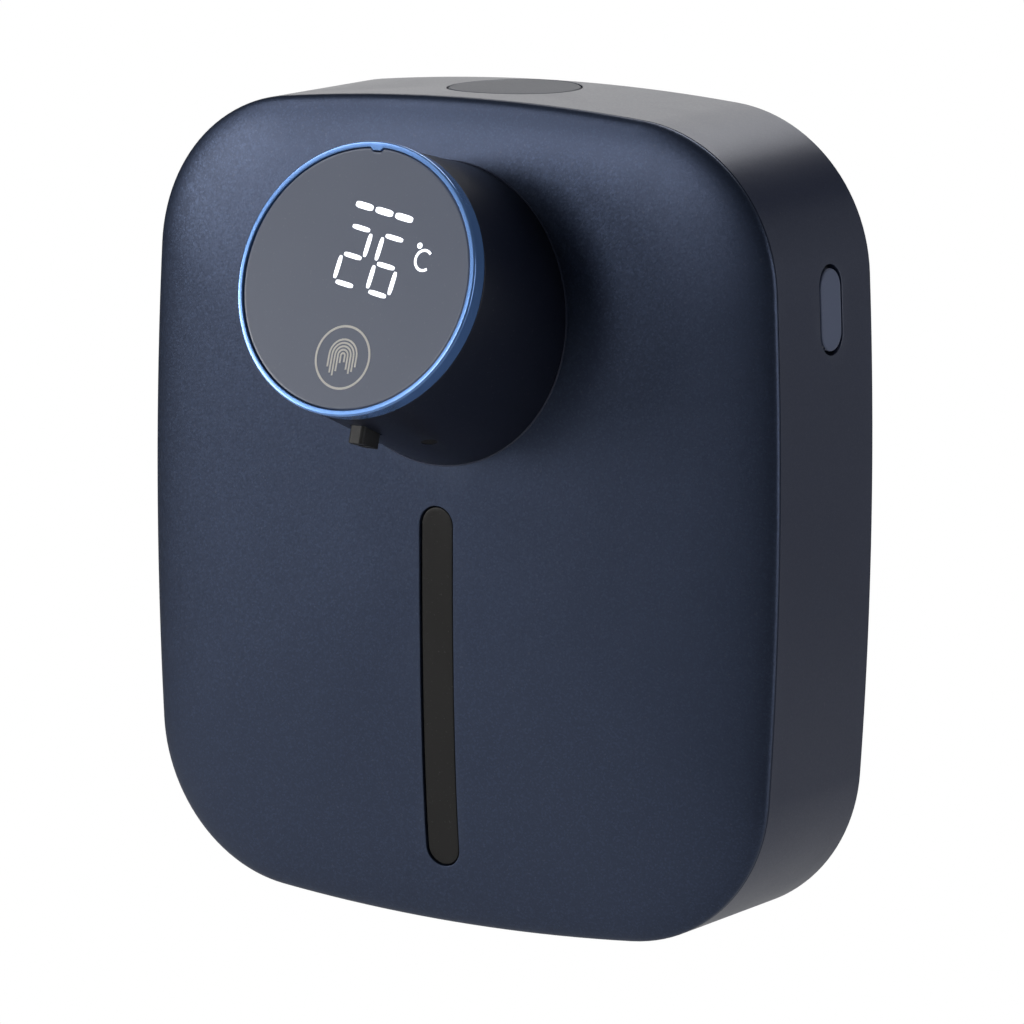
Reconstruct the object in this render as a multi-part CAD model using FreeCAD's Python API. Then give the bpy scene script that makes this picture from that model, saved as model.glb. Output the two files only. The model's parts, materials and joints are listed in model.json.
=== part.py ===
import FreeCAD, Part
import math
import os

# Wall mounted touch-free soap dispenser, in millimetres.
# X runs to the right, -Y to the front (the wall is the plane y = 0) and Z up.
# The origin is the middle of the wall plate's back face, level with the middle of the body.

V = FreeCAD.Vector

# ---- body outline: eight tangent arcs ----
body_height = 132.0
body_width = 116.2
side_radius = 680.0
top_radius = 335.0
corner_radius = 26.5
band_depth = 29.1
back_flare = 1.008
crown_height = 6.25
crown_power = 0.46
crown_scales = (1.0, 0.992, 0.975, 0.94, 0.88, 0.78, 0.62, 0.42, 0.2)
wall_gap = 1.0

# ---- walls and clearances ----
shell_wall = 2.6
cover_wall = 2.0
rear_wall = 2.0
tank_wall = 1.6
seam_gap = 0.25
part_gap = 0.15
loose_gap = 0.4
running_gap = 0.05
snug_gap = 0.02

# ---- how far cutting shapes run past what they cut ----
short_run = 1.0
long_run = 5.0

# ---- wall plate, its pad and hooks ----
pad_thickness = 0.6
pad_margin = 1.5
plate_thickness = 2.4
plate_width = 48.0
plate_end_margin = 24.0
plate_corner = 6.0
hook_spacing = 40.0
hook_end_margin = 6.0
hook_neck_radius = 2.0
hook_head_radius = 4.0
hook_head_thickness = 1.5
hook_eye_gap = 0.3
screw_hole_radius = 2.1
screw_sink_radius = 3.7
screw_hole_end_margin = 14.0

# ---- the tray in the rear cover that slides over the plate, and the tank stops ----
lift_travel = 8.0
slide_gap = 0.25
tray_floor = 1.5
tray_wall = 2.0
tray_corner = 4.0
tray_side_gap = 0.5
tray_foot_gap = 1.0
stop_x = 34.0
stop_half_width = 3.0
stop_end_margin = 12.0

# ---- front cover's lip, and the pillars that join the covers ----
lip_root = 0.8
lip_length = 3.5
lip_wall = 1.4
pillar_radius = 3.1
pillar_side_margin = 22.1
pillar_top_margin = 9.0
pillar_foot_margin = 8.6
pillar_joint = -15.8

# ---- screws ----
screw_radius = 1.1
screw_head_radius = 2.2
screw_head_height = 1.4
screw_head_gap = 0.2
screw_recess_share = 0.4
case_screw_reach = 8.0
board_screw_length = 6.0
ear_screw_length = 3.8

# ---- spout head: a tilted, slightly flared barrel ----
head_tilt = 17.35
face_reach = 29.33
face_drop = 25.18
bezel_radius = 21.3
bezel_wall = 0.95
bezel_length = 3.1
bezel_edge = 0.35
bezel_seam = 0.25
nub_width = 2.4
nub_height = 0.5
nub_root = 0.3
nub_front = 0.1
nub_back = 1.2
barrel_step = 0.15
barrel_flare = 0.082
barrel_wall = 2.0
barrel_length = 36.0
neck_fit_gap = 0.12
seat_wall = 1.65
ledge_width = 1.5
ledge_thickness = 1.3
ear_setback = 2.1
ear_thickness = 1.8
ear_radius = 2.8
ear_web = 6.5
ear_boss_radius = 2.6
ear_screw_circle = 26.5
ear_angles = (30, 150, 210, 330)

# ---- display behind the glass ----
glass_thickness = 1.2
glass_inset = 0.3
glass_gap = 0.1
module_thickness = 2.4
board_thickness = 1.2
touch_drop = 12.2
touch_radius = 5.0
touch_thickness = 0.28
touch_seat_gap = 0.2
notch_half_width = 3.0
notch_top = 15.5

# ---- nozzle, measured from the barrel's axis ----
nozzle_width = 2.6
nozzle_depth = 5.2
nozzle_reach = 24.2
nozzle_centre = 10.2
nozzle_edge = 0.6
nozzle_bore = 0.75
flange_half = 3.4
flange_outer = 18.9
flange_inner = 17.8
chamber_radius = 3.2
chamber_bore = 2.2
chamber_outer = 18.0
chamber_inner = 12.5
chamber_wall = 1.0
nozzle_nipple_end = 8.6
foam_gap = 0.1
foam_thickness = 0.8

# ---- hand sensor ----
sensor_radius = 1.3
sensor_setback = 18.8
sensor_angle = 16.0
sensor_inner = 17.6
lens_inset = 0.12
sensor_board_outer = 15.6
sensor_board_thickness = 1.0
sensor_board_half_width = 8.0
sensor_board_half_depth = 4.0

# ---- level window ----
window_width = 6.1
window_drop = 38.52
window_foot_margin = 9.9
window_inset = 0.35
window_rim = 1.8
window_flange = 1.0
gasket_thickness = 0.5

# ---- refill cap ----
cap_radius = 10.6
cap_x = -1.0
cap_y = -12.6
cap_thickness = 1.5
cap_gap = 0.25
plug_length = 6.5
plug_wall = 1.95
plug_roof = 0.6
groove_rise = 2.2
groove_height = 1.3
groove_depth = 1.1
seal_radius = 0.5

# ---- reservoir, its hose grommet and pads ----
neck_bore = 6.2
neck_wall = 1.4
tank_side_margin = 6.1
tank_foot_margin = 11.8
tank_drop = 44.0
tank_low_corner = 22.0
tank_high_corner = 6.0
tank_front_gap = 1.3
riser_width = 19.0
riser_depth = 17.0
riser_drop = 16.0
grommet_wall = 1.1
grommet_lip = 0.8
grommet_flange = 1.0
intake_foot_gap = 4.0
tank_pad_radius = 4.0
tank_pad_x = 30.0
tank_pad_margin = 13.0

# ---- charging socket and its hinged cover ----
usb_y = -13.8
usb_drop = 30.6
flap_height = 12.8
flap_width = 6.2
flap_end_gap = 0.6
flap_side_gap = 0.3
flap_back_inset = 2.25
pocket_inset = 2.85
pocket_floor = 2.4
boss_wall = 2.0
socket_height = 8.94
socket_width = 3.26
socket_length = 7.3
socket_rise = 1.1
socket_wall = 0.32
socket_floor = 1.0
tongue_thickness = 0.7
tongue_width = 6.7
tongue_root = 0.5
tongue_setback = 0.8
hinge_pin_radius = 0.3
pin_overhang = 0.5
knuckle_radius = 0.55
knuckle_half = 2.0
hinge_inset = 1.05
hinge_rise = 0.85
relief_radius = 0.95
relief_half = 2.7

# ---- pump: motor, housing, two gears and its screws ----
motor_x = 26.0
motor_drop = 28.0
motor_radius = 10.0
motor_length = 14.5
motor_edge = 0.8
motor_flat = 8.0
motor_floor = 2.0
pump_front = -14.2
pump_wall = 1.4
pump_cover_thickness = 1.5
pump_side_wall = 1.76
pump_end_wall = 1.96
gear_module = 0.8
gear_teeth = 10
gear_width = 3.0
gear_addendum = 0.9
gear_dedendum = 1.15
gear_tip_gap = 0.12
tooth_root_share = 0.30
tooth_tip_share = 0.105
shaft_radius = 1.0
axle_skin = 0.4
axle_end_gap = 0.1
pump_screw_radius = 0.8
pump_screw_head_radius = 1.45
pump_screw_head_height = 0.8
pump_screw_depth = 2.8
pump_screw_margin = 1.4
pump_slot_half_length = 1.1
pump_slot_half_width = 0.2
pump_slot_depth = 0.35

# ---- hoses ----
hose_radius = 2.5
hose_bore = 1.55
hose_bend = 4.0
hose_start = 12.4
hose_turn = 3.0
hose_lane_gap = 1.0
hose_route = ((0.0, 1.5, 9.0), (5.0, 3.5), 4.5)
nipple_radius = 1.5
nipple_bore = 0.9
nipple_length = 3.2
port_half = 2.0

# ---- cell and its tray, measured from the reservoir's top ----
cell_width = 34.0
cell_height = 22.0
cell_thickness = 8.5
cell_corner = 1.5
cell_edge = 1.0
cell_x = -48.5
cell_rise = 4.0
cell_back = -18.0
cradle_plate = 1.4
cradle_rim = 1.6
cradle_lip = 4.0
cradle_leg_radius = 1.3
cradle_legs = ((-49.0, 8.0), (-49.0, 22.0), (-14.2, 24.0))

# ---- boards and their posts: x, then height above the reservoir's top ----
post_radius = 2.0
post_floor = 1.0
main_board_back = -12.0
main_board_x = (-47.0, -16.0)
main_board_rise = (3.5, 28.0)
main_posts = ((-44.0, 6.5), (-29.0, 25.0))
charge_board_width = 14.65
charge_board_gap = 0.2
charge_board_rise = (4.0, 23.2)
charge_post_inset = 3.0
charge_post_rises = (6.5, 20.9)

# ---- chips (x, z, width, height, thickness) and coils (x, z, radius, height) on the boards ----
charge_chip = (5.0, 4.5, 3.0, 3.0, 1.0)
charge_coil = (5.5, 12.5, 2.0, 2.2)
main_chips = ((7.0, 7.5, 7.0, 7.0, 1.1), (23.0, 4.5, 4.0, 4.0, 0.9))
main_coil = (9.5, 20.0, 1.9, 2.4)

# ---- planes and places that several pieces share ----
half_width = body_width / 2
half_height = body_height / 2
back_plane = -wall_gap
rim_plane = back_plane - band_depth
front_clear = rim_plane - crown_height - short_run
rear_inner = back_plane - rear_wall
plate_front = -pad_thickness - plate_thickness
plate_height = body_height - 2 * plate_end_margin
hook_height = plate_height / 2 - hook_end_margin
screw_hole_height = plate_height / 2 - screw_hole_end_margin
tray_back = plate_front - slide_gap
tray_front = tray_back - tray_floor
case_screw_seat = back_plane - screw_head_height - screw_head_gap

tilt = math.radians(head_tilt)
face_height = half_height - face_drop
bezel_inner_radius = bezel_radius - bezel_wall
barrel_front_radius = bezel_radius - barrel_step
seat_radius = bezel_inner_radius - seat_wall
module_radius = seat_radius - glass_gap
ear_front = rim_plane - ear_setback
ear_back = ear_front + ear_thickness
base_height = face_height - (face_reach - ear_setback) * math.tan(tilt)
glass_back = -glass_inset - glass_thickness
module_back = glass_back - module_thickness
board_back = module_back - board_thickness

window_top = face_height - window_drop
window_bottom = -half_height + window_foot_margin

tank_back = tray_front - loose_gap
tank_front = rim_plane + tank_front_gap
tank_half_width = half_width - tank_side_margin
tank_bottom = -half_height + tank_foot_margin
tank_top = half_height - tank_drop
riser_top = half_height - riser_drop
riser_front = tank_back - riser_depth
neck_radius = neck_bore + neck_wall
cap_well_floor = half_height - cap_thickness - loose_gap
cap_low = cap_well_floor + cap_gap
plug_low = cap_low - plug_length

usb_z = half_height - usb_drop
hinge_x = half_width - hinge_inset
hinge_z = usb_z - flap_height / 2 + hinge_rise
pin_half = flap_width / 2 + flap_side_gap + pin_overhang
pocket_back = half_width - pocket_inset
boss_back = pocket_back - pocket_floor
socket_z = usb_z + socket_rise
charge_board_front = usb_y + socket_width / 2
charge_board_back = charge_board_front + board_thickness
charge_board_right = boss_back - charge_board_gap
charge_board_left = charge_board_right - charge_board_width

gear_pitch = gear_module * gear_teeth / 2
gear_tip = gear_pitch + gear_module * gear_addendum
gear_root = gear_pitch - gear_module * gear_dedendum
gear_room = gear_tip + gear_tip_gap
motor_z = half_height - motor_drop
driven_x = motor_x - 2 * gear_pitch
pump_left = driven_x - gear_room - pump_side_wall
pump_right = motor_x + gear_room + pump_side_wall
pump_low = motor_z - gear_room - pump_end_wall
pump_high = motor_z + gear_room + pump_end_wall
cavity_front = pump_front + pump_wall
cavity_back = cavity_front + gear_width + 2 * running_gap
pump_back = cavity_back + pump_cover_thickness
shaft_front = pump_front - motor_length + motor_floor
shaft_back = pump_back - axle_skin - axle_end_gap
intake_x = motor_x - gear_pitch
intake_y = (cavity_front + cavity_back) / 2
grommet_radius = hose_radius + grommet_wall

os.makedirs("parts", exist_ok=True)


def save(name, *shapes):
    """Writes the solids of one node and prints how many there are, their volume and their state."""
    solids = [solid for shape in shapes for solid in shape.Solids]
    shape = solids[0] if len(solids) == 1 else Part.makeCompound(solids)
    shape.exportStep("parts/" + name + ".step")
    volume = sum(solid.Volume for solid in solids)
    state = "valid" if all(solid.isValid() for solid in solids) else "INVALID"
    print(name, len(solids), round(volume, 1), state)


# ---- plain shapes ----

def box(x0, x1, y0, y1, z0, z1):
    return Part.makeBox(x1 - x0, y1 - y0, z1 - z0, V(x0, y0, z0))


def rod_y(x, z, radius, y0, y1):
    return Part.makeCylinder(radius, y1 - y0, V(x, y0, z), V(0, 1, 0))


def rod_z(x, y, radius, z0, z1):
    return Part.makeCylinder(radius, z1 - z0, V(x, y, z0), V(0, 0, 1))


def prism_y(wire, y0, y1):
    """Extrudes a wire that lies in the plane y = 0 from y0 to y1."""
    face = Part.Face(wire)
    face.translate(V(0, y0, 0))
    return face.extrude(V(0, y1 - y0, 0))


def rounded_wire(x0, x1, z0, z1, low, high):
    """A rectangle in the plane y = 0 with its own radius at the low and the high corners."""
    diagonal = 1 - math.sqrt(0.5)
    corners = [(x1, z0, -1, 1, low), (x1, z1, -1, -1, high), (x0, z1, 1, -1, high), (x0, z0, 1, 1, low)]
    edges = []
    last = None
    first = None
    for index, (x, z, sx, sz, r) in enumerate(corners):
        along_x = V(x + sx * r, 0, z)
        along_z = V(x, 0, z + sz * r)
        start, end = (along_x, along_z) if index % 2 == 0 else (along_z, along_x)
        middle = V(x + sx * r * diagonal, 0, z + sz * r * diagonal)
        if last is not None:
            edges.append(Part.LineSegment(last, start).toShape())
        edges.append(Part.Arc(start, middle, end).toShape())
        first = start if first is None else first
        last = end
    edges.append(Part.LineSegment(last, first).toShape())
    return Part.Wire(edges)


def pill_wire(z0, z1, radius, x=0.0):
    """A vertical slot with round ends in the plane y = 0."""
    left = x - radius
    right = x + radius
    high = z1 - radius
    low = z0 + radius
    return Part.Wire([
        Part.LineSegment(V(right, 0, low), V(right, 0, high)).toShape(),
        Part.Arc(V(right, 0, high), V(x, 0, z1), V(left, 0, high)).toShape(),
        Part.LineSegment(V(left, 0, high), V(left, 0, low)).toShape(),
        Part.Arc(V(left, 0, low), V(x, 0, z0), V(right, 0, low)).toShape(),
    ])


def hose(points, bend, radius, bore):
    """A tube along straight runs joined by tangent arcs of one bend radius."""
    edges = []
    last = points[0]
    for before, corner, after in zip(points, points[1:], points[2:]):
        into = (corner - before).normalize()
        out = (after - corner).normalize()
        turn = into.getAngle(out)
        setback = bend * math.tan(turn / 2)
        start = corner - into * setback
        end = corner + out * setback
        toward = (out - into).normalize()
        centre = corner + toward * (bend / math.cos(turn / 2))
        edges.append(Part.LineSegment(last, start).toShape())
        edges.append(Part.Arc(start, centre - toward * bend, end).toShape())
        last = end
    edges.append(Part.LineSegment(last, points[-1]).toShape())
    path = Part.Wire(edges)
    direction = (points[1] - points[0]).normalize()
    solids = []
    for size in (radius, bore):
        ring = Part.Wire(Part.Circle(points[0], direction, size).toShape())
        solids.append(path.makePipeShell([ring], True, False))
    return solids[0].cut(solids[1])


# ---- body outline ----

def corner_centre():
    """Centre of the corner arc that is tangent to the side arc and to the top arc."""
    side = V(half_width - side_radius, 0, 0)
    top = V(0, 0, half_height - top_radius)
    side_reach = side_radius - corner_radius
    top_reach = top_radius - corner_radius
    span = (top - side).Length
    along = (span ** 2 + side_reach ** 2 - top_reach ** 2) / (2 * span)
    across = math.sqrt(side_reach ** 2 - along ** 2)
    unit = (top - side).normalize()
    return side + unit * along + V(-unit.z, 0, unit.x) * across


def outline(inset, y, scale=1.0):
    """The body's outline, moved inwards by inset and scaled, in the plane y."""
    side = V(half_width - side_radius, 0, 0)
    top = V(0, 0, half_height - top_radius)
    corner = corner_centre()
    side_end = side + (corner - side).normalize() * (side_radius - inset)
    top_end = top + (corner - top).normalize() * (top_radius - inset)
    bisector = ((side_end - corner).normalize() + (top_end - corner).normalize()).normalize()
    middle = corner + bisector * (corner_radius - inset)
    right = V(half_width - inset, 0, 0)
    summit = V(0, 0, half_height - inset)

    def place(point, sx, sz):
        return V(point.x * sx * scale, y, point.z * sz * scale)

    def arc(start, through, end):
        return Part.Arc(start, through, end).toShape()

    edges = [arc(place(side_end, 1, -1), place(right, 1, 1), place(side_end, 1, 1)),
             arc(place(side_end, 1, 1), place(middle, 1, 1), place(top_end, 1, 1)),
             arc(place(top_end, 1, 1), place(summit, 1, 1), place(top_end, -1, 1)),
             arc(place(top_end, -1, 1), place(middle, -1, 1), place(side_end, -1, 1)),
             arc(place(side_end, -1, 1), place(right, -1, 1), place(side_end, -1, -1)),
             arc(place(side_end, -1, -1), place(middle, -1, -1), place(top_end, -1, -1)),
             arc(place(top_end, -1, -1), place(summit, 1, -1), place(top_end, 1, -1)),
             arc(place(top_end, 1, -1), place(middle, 1, -1), place(side_end, 1, -1))]
    return Part.Wire(edges)


def inner_prism(inset, y0, y1):
    return Part.Face(outline(inset, y0)).extrude(V(0, y1 - y0, 0))


def crown(scale):
    """How far the front stands out of the rim plane, from 1 at the rim to 0 in the middle."""
    return crown_height * (1 - scale ** 2) ** crown_power


def dome(shift):
    """The crowned front as a solid, moved back from the outer surface by shift."""
    wires = [outline(0, rim_plane + shift - crown(scale), scale) for scale in crown_scales]
    return Part.makeLoft(wires, True, False)


def interior(shift):
    """The space behind the crowned front, starting at shift behind its outer surface."""
    return dome(shift).fuse(inner_prism(shell_wall + part_gap, rim_plane + shift - snug_gap, 0))


# ---- frame of the spout head: local x right, y up the face, z out of the face ----

head_frame = FreeCAD.Placement(V(0, rim_plane - face_reach, face_height),
                               FreeCAD.Rotation(V(1, 0, 0), 90 - head_tilt))


def in_head(shape):
    shape = shape.copy()
    shape.Placement = head_frame.multiply(shape.Placement)
    return shape


def disc(radius, z0, z1, x=0.0, y=0.0):
    return Part.makeCylinder(radius, z1 - z0, V(x, y, z0))


def barrel_radius(depth):
    return barrel_front_radius + barrel_flare * (depth - bezel_length)


def barrel_cone(depth0, depth1, offset):
    """A piece of the flared barrel between two depths behind the face, wider by offset."""
    radius1 = barrel_radius(depth1) + offset
    radius0 = barrel_radius(depth0) + offset
    return Part.makeCone(radius1, radius0, depth1 - depth0, V(0, 0, -depth1))


def ear_places():
    for angle in ear_angles:
        turn = math.radians(angle)
        yield ear_screw_circle * math.cos(turn), base_height + ear_screw_circle * math.sin(turn)


def pillar_places():
    x = half_width - pillar_side_margin
    for side in (-1, 1):
        for z in (-half_height + pillar_foot_margin, half_height - pillar_top_margin):
            yield side * x, z


def span_y(x, z, radius, start, length):
    """A rod along Y from start; a negative length runs towards the front."""
    return rod_y(x, z, radius, min(start, start + length), max(start, start + length))


def screw(x, z, seat, length):
    """A screw along Y whose head stands on the plane y = seat; the sign of length is its direction."""
    sign = math.copysign(1, length)
    top = seat - sign * screw_head_height
    head = span_y(x, z, screw_head_radius, seat, -sign * screw_head_height)
    recess = span_y(x, z, screw_head_radius * screw_recess_share, top, sign * screw_head_height / 2)
    return head.cut(recess).fuse(span_y(x, z, screw_radius, seat, length)).removeSplitter()


# ---- wall bracket ----

def wall_plate():
    """Flat plate with two sunk screw holes and two headed hooks that the body hangs on."""
    outer = rounded_wire(-plate_width / 2, plate_width / 2, -plate_height / 2, plate_height / 2,
                         plate_corner, plate_corner)
    plate = prism_y(outer, plate_front, -pad_thickness)
    sink_depth = screw_sink_radius - screw_hole_radius
    sunk = (screw_sink_radius, screw_hole_radius, sink_depth)
    for z in (-screw_hole_height, screw_hole_height):
        hole = rod_y(0, z, screw_hole_radius, plate_front, -pad_thickness)
        sink = Part.makeCone(*sunk, V(0, plate_front, z), V(0, 1, 0))
        plate = plate.cut(hole).cut(sink)
    neck_end = tray_front - part_gap
    for x in (-hook_spacing / 2, hook_spacing / 2):
        neck = rod_y(x, hook_height, hook_neck_radius, neck_end, plate_front)
        head = rod_y(x, hook_height, hook_head_radius, neck_end - hook_head_thickness, neck_end)
        plate = plate.fuse(neck.fuse(head))
    return plate.removeSplitter()


def adhesive_pad():
    half_pad = plate_width / 2 - pad_margin
    half_high = plate_height / 2 - pad_margin
    pad = prism_y(rounded_wire(-half_pad, half_pad, -half_high, half_high, plate_corner, plate_corner),
                  -pad_thickness, 0)
    for z in (-screw_hole_height, screw_hole_height):
        pad = pad.cut(rod_y(0, z, screw_sink_radius, -pad_thickness, 0))
    return pad


save("wall_plate", wall_plate())
save("adhesive_pad", adhesive_pad())


# ---- body: front cover, shell band and rear cover ----

def band_solid():
    front = outline(0, rim_plane + seam_gap)
    back = outline(0, back_plane, back_flare)
    return Part.makeLoft([front, back], True, True)


def usb_wire(grow_end, grow_side):
    """The flap's outline, seen from the side, as a wire in the plane y = 0 (turned later)."""
    return pill_wire(usb_z - flap_height / 2 - grow_end, usb_z + flap_height / 2 + grow_end,
                     flap_width / 2 + grow_side)


def side_prism(wire, x0, x1, y):
    """Turns a wire drawn in the plane y = 0 to face +X and extrudes it from x0 to x1."""
    face = Part.Face(wire)
    face.rotate(V(0, 0, 0), V(0, 0, 1), 90)
    face.translate(V(x0, y, 0))
    return face.extrude(V(x1 - x0, 0, 0))


def housing_shell():
    shell = band_solid().cut(inner_prism(shell_wall, rim_plane, 0))
    boss_wire = usb_wire(flap_end_gap + boss_wall, flap_side_gap + boss_wall)
    shell = shell.fuse(side_prism(boss_wire, boss_back, half_width - shell_wall / 2, usb_y))
    reach = half_width + long_run
    shell = shell.cut(side_prism(usb_wire(flap_end_gap, flap_side_gap), pocket_back, reach, usb_y))
    shell = shell.cut(rod_y(hinge_x, hinge_z, relief_radius, usb_y - relief_half, usb_y + relief_half))
    slot = pill_wire(socket_z - socket_height / 2 - part_gap, socket_z + socket_height / 2 + part_gap,
                     socket_width / 2 + part_gap)
    shell = shell.cut(side_prism(slot, boss_back - short_run, reach, usb_y))
    pin_hole = rod_y(hinge_x, hinge_z, hinge_pin_radius + snug_gap, usb_y - pin_half - running_gap,
                     usb_y + pin_half + running_gap)
    shell = shell.cut(pin_hole)
    well_top = half_height + long_run
    shell = shell.cut(rod_z(cap_x, cap_y, cap_radius + part_gap, cap_well_floor, well_top))
    return shell.cut(rod_z(cap_x, cap_y, neck_radius + part_gap, cap_well_floor - long_run, well_top))


def window_wire(grow):
    return pill_wire(window_bottom - grow, window_top + grow, window_width / 2 + grow)


def front_cover():
    cover = dome(0).cut(dome(cover_wall))
    lip_inset = shell_wall + part_gap
    lip_front = rim_plane - lip_root
    lip_back = rim_plane + lip_length
    lip = inner_prism(lip_inset, lip_front, lip_back)
    lip = lip.cut(inner_prism(lip_inset + lip_wall, lip_front - short_run, lip_back + short_run))
    cover = cover.fuse(lip)
    behind = interior(cover_wall / 2)
    pillar_end = pillar_joint - part_gap
    screw_end = pillar_joint - case_screw_reach - loose_gap
    for x, z in pillar_places():
        cover = cover.fuse(rod_y(x, z, pillar_radius, front_clear, pillar_end).common(behind))
        cover = cover.cut(rod_y(x, z, screw_radius + snug_gap, screw_end, pillar_end))
    ear_screw_end = ear_back - ear_screw_length - loose_gap
    for x, z in ear_places():
        cover = cover.fuse(rod_y(x, z, ear_boss_radius, front_clear, ear_front).common(behind))
        cover = cover.cut(rod_y(x, z, screw_radius + snug_gap, ear_screw_end, ear_front))
    cover = cover.cut(in_head(barrel_cone(bezel_length, barrel_length, part_gap)))
    return cover.cut(prism_y(window_wire(0), front_clear, rim_plane + short_run))


def rear_cover():
    """Rear wall with the tray for the wall plate, the lower pillars, tank stops and board posts."""
    cover = inner_prism(shell_wall + part_gap, rear_inner, back_plane)
    half_tray = plate_width / 2 + tray_side_gap
    top = plate_height / 2 + tray_side_gap
    low = -plate_height / 2 - lift_travel - tray_foot_gap
    outer_corner = tray_corner + tray_wall
    tray = rounded_wire(-half_tray - tray_wall, half_tray + tray_wall, low - tray_wall, top + tray_wall,
                        outer_corner, outer_corner)
    pocket = rounded_wire(-half_tray, half_tray, low, top, tray_corner, tray_corner)
    cover = cover.fuse(prism_y(tray, tray_front, back_plane)).cut(prism_y(pocket, tray_back, 0))
    hung = hook_height - lift_travel
    for x in (-hook_spacing / 2, hook_spacing / 2):
        slot = pill_wire(hung - hook_neck_radius, hook_height + hook_neck_radius + part_gap,
                         hook_neck_radius + part_gap, x)
        eye = rod_y(x, hung, hook_head_radius + hook_eye_gap, tray_front - short_run, 0)
        cover = cover.cut(prism_y(slot, tray_front - short_run, 0)).cut(eye)
    for x, z in pillar_places():
        cover = cover.fuse(rod_y(x, z, pillar_radius, pillar_joint, rear_inner))
        cover = cover.cut(rod_y(x, z, screw_radius + part_gap, pillar_joint, 0))
        cover = cover.cut(rod_y(x, z, screw_head_radius + screw_head_gap, case_screw_seat, 0))
    for x in (-stop_x, stop_x):
        cover = cover.fuse(box(x - stop_half_width, x + stop_half_width, tank_back, rear_inner,
                               tank_bottom + stop_end_margin, tank_top - stop_end_margin))
    for x, z, board in post_places():
        post = rod_y(x, z, post_radius, board, rear_inner)
        cover = cover.fuse(post.cut(rod_y(x, z, screw_radius + snug_gap, board, rear_inner - post_floor)))
    return cover.removeSplitter()


def main_post_places():
    for x, rise in main_posts:
        yield x, tank_top + rise


def charge_post_places():
    for rise in charge_post_rises:
        yield charge_board_left + charge_post_inset, tank_top + rise


def post_places():
    """Every board post with the plane of the board that it carries."""
    for x, z in main_post_places():
        yield x, z, main_board_back
    for x, z in charge_post_places():
        yield x, z, charge_board_back


save("housing_shell", housing_shell())
save("front_cover", front_cover())
save("rear_cover", rear_cover())


# ---- level window ----

def between_domes(wire, shift0, shift1):
    """The part of a prism that lies between two copies of the crowned front."""
    block = prism_y(wire, front_clear, rim_plane + short_run / 2)
    return block.common(dome(shift0)).cut(dome(shift1))


def level_window():
    inside = cover_wall + gasket_thickness
    strip = between_domes(window_wire(-part_gap), window_inset, inside + window_flange / 2)
    flange = between_domes(window_wire(window_rim), inside, inside + window_flange)
    return strip.fuse(flange).removeSplitter()


def window_gasket():
    ring = between_domes(window_wire(window_rim), cover_wall, cover_wall + gasket_thickness)
    return ring.cut(prism_y(window_wire(0), front_clear, rim_plane + short_run))


save("level_window", level_window())
save("window_gasket", window_gasket())


# ---- reservoir ----

def tank_hull(inset):
    """The reservoir's tank and riser, every face moved inwards by inset."""
    half = tank_half_width - inset
    wire = rounded_wire(-half, half, tank_bottom + inset, tank_top - inset, tank_low_corner - inset,
                        tank_high_corner - inset)
    tank = prism_y(wire, tank_front + inset, tank_back - inset)
    half_riser = riser_width / 2 - inset
    riser = box(cap_x - half_riser, cap_x + half_riser, riser_front + inset, tank_back - inset,
                tank_top - long_run, riser_top - inset)
    return tank.fuse(riser)


def reservoir():
    tank = tank_hull(0).fuse(rod_z(cap_x, cap_y, neck_radius, riser_top - short_run, cap_well_floor))
    tank = tank.cut(tank_hull(tank_wall))
    mouth = rod_z(cap_x, cap_y, neck_bore, riser_top - tank_wall - short_run, cap_well_floor + short_run)
    hole = rod_z(intake_x, intake_y, grommet_radius + snug_gap, tank_top - tank_wall - short_run,
                 tank_top + short_run)
    return tank.cut(mouth).cut(hole).removeSplitter()


def tank_grommet():
    low = tank_top - tank_wall - grommet_lip
    high = tank_top + grommet_flange
    ring = rod_z(intake_x, intake_y, grommet_radius, low, tank_top)
    ring = ring.fuse(rod_z(intake_x, intake_y, grommet_radius + grommet_lip, tank_top, high))
    return ring.cut(rod_z(intake_x, intake_y, hose_radius + snug_gap, low, high))


def intake_hose():
    outer = rod_z(intake_x, intake_y, hose_radius, tank_bottom + intake_foot_gap, pump_low - part_gap)
    return outer.cut(rod_z(intake_x, intake_y, hose_bore, tank_bottom, pump_low))


def tank_pads():
    """Four soft pads between the front cover and the reservoir."""
    inside = interior(cover_wall)
    return [rod_y(x, z, tank_pad_radius, front_clear, tank_front).common(inside)
            for x in (-tank_pad_x, tank_pad_x)
            for z in (tank_top - tank_pad_margin, tank_bottom + tank_pad_margin)]


save("reservoir", reservoir())
save("tank_grommet", tank_grommet())
save("intake_hose", intake_hose())
save("tank_pads", *tank_pads())


# ---- refill cap ----

def fill_cap():
    lid = rod_z(cap_x, cap_y, cap_radius, cap_low, half_height + long_run).common(band_solid())
    plug = rod_z(cap_x, cap_y, neck_bore - cap_gap, plug_low, cap_low + cap_gap)
    groove_low = plug_low + groove_rise
    groove_high = groove_low + groove_height
    groove = rod_z(cap_x, cap_y, neck_bore + short_run, groove_low, groove_high)
    groove = groove.cut(rod_z(cap_x, cap_y, neck_bore - groove_depth, groove_low, groove_high))
    hollow = rod_z(cap_x, cap_y, neck_bore - cap_gap - plug_wall, plug_low - short_run,
                   cap_well_floor - plug_roof)
    return lid.fuse(plug).cut(groove).cut(hollow).removeSplitter()


def cap_seal():
    centre = V(cap_x, cap_y, plug_low + groove_rise + groove_height / 2)
    return Part.makeTorus(neck_bore - running_gap - seal_radius, seal_radius, centre, V(0, 0, 1))


save("fill_cap", fill_cap())
save("cap_seal", cap_seal())


# ---- charging socket, its hinged flap and its board ----

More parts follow.
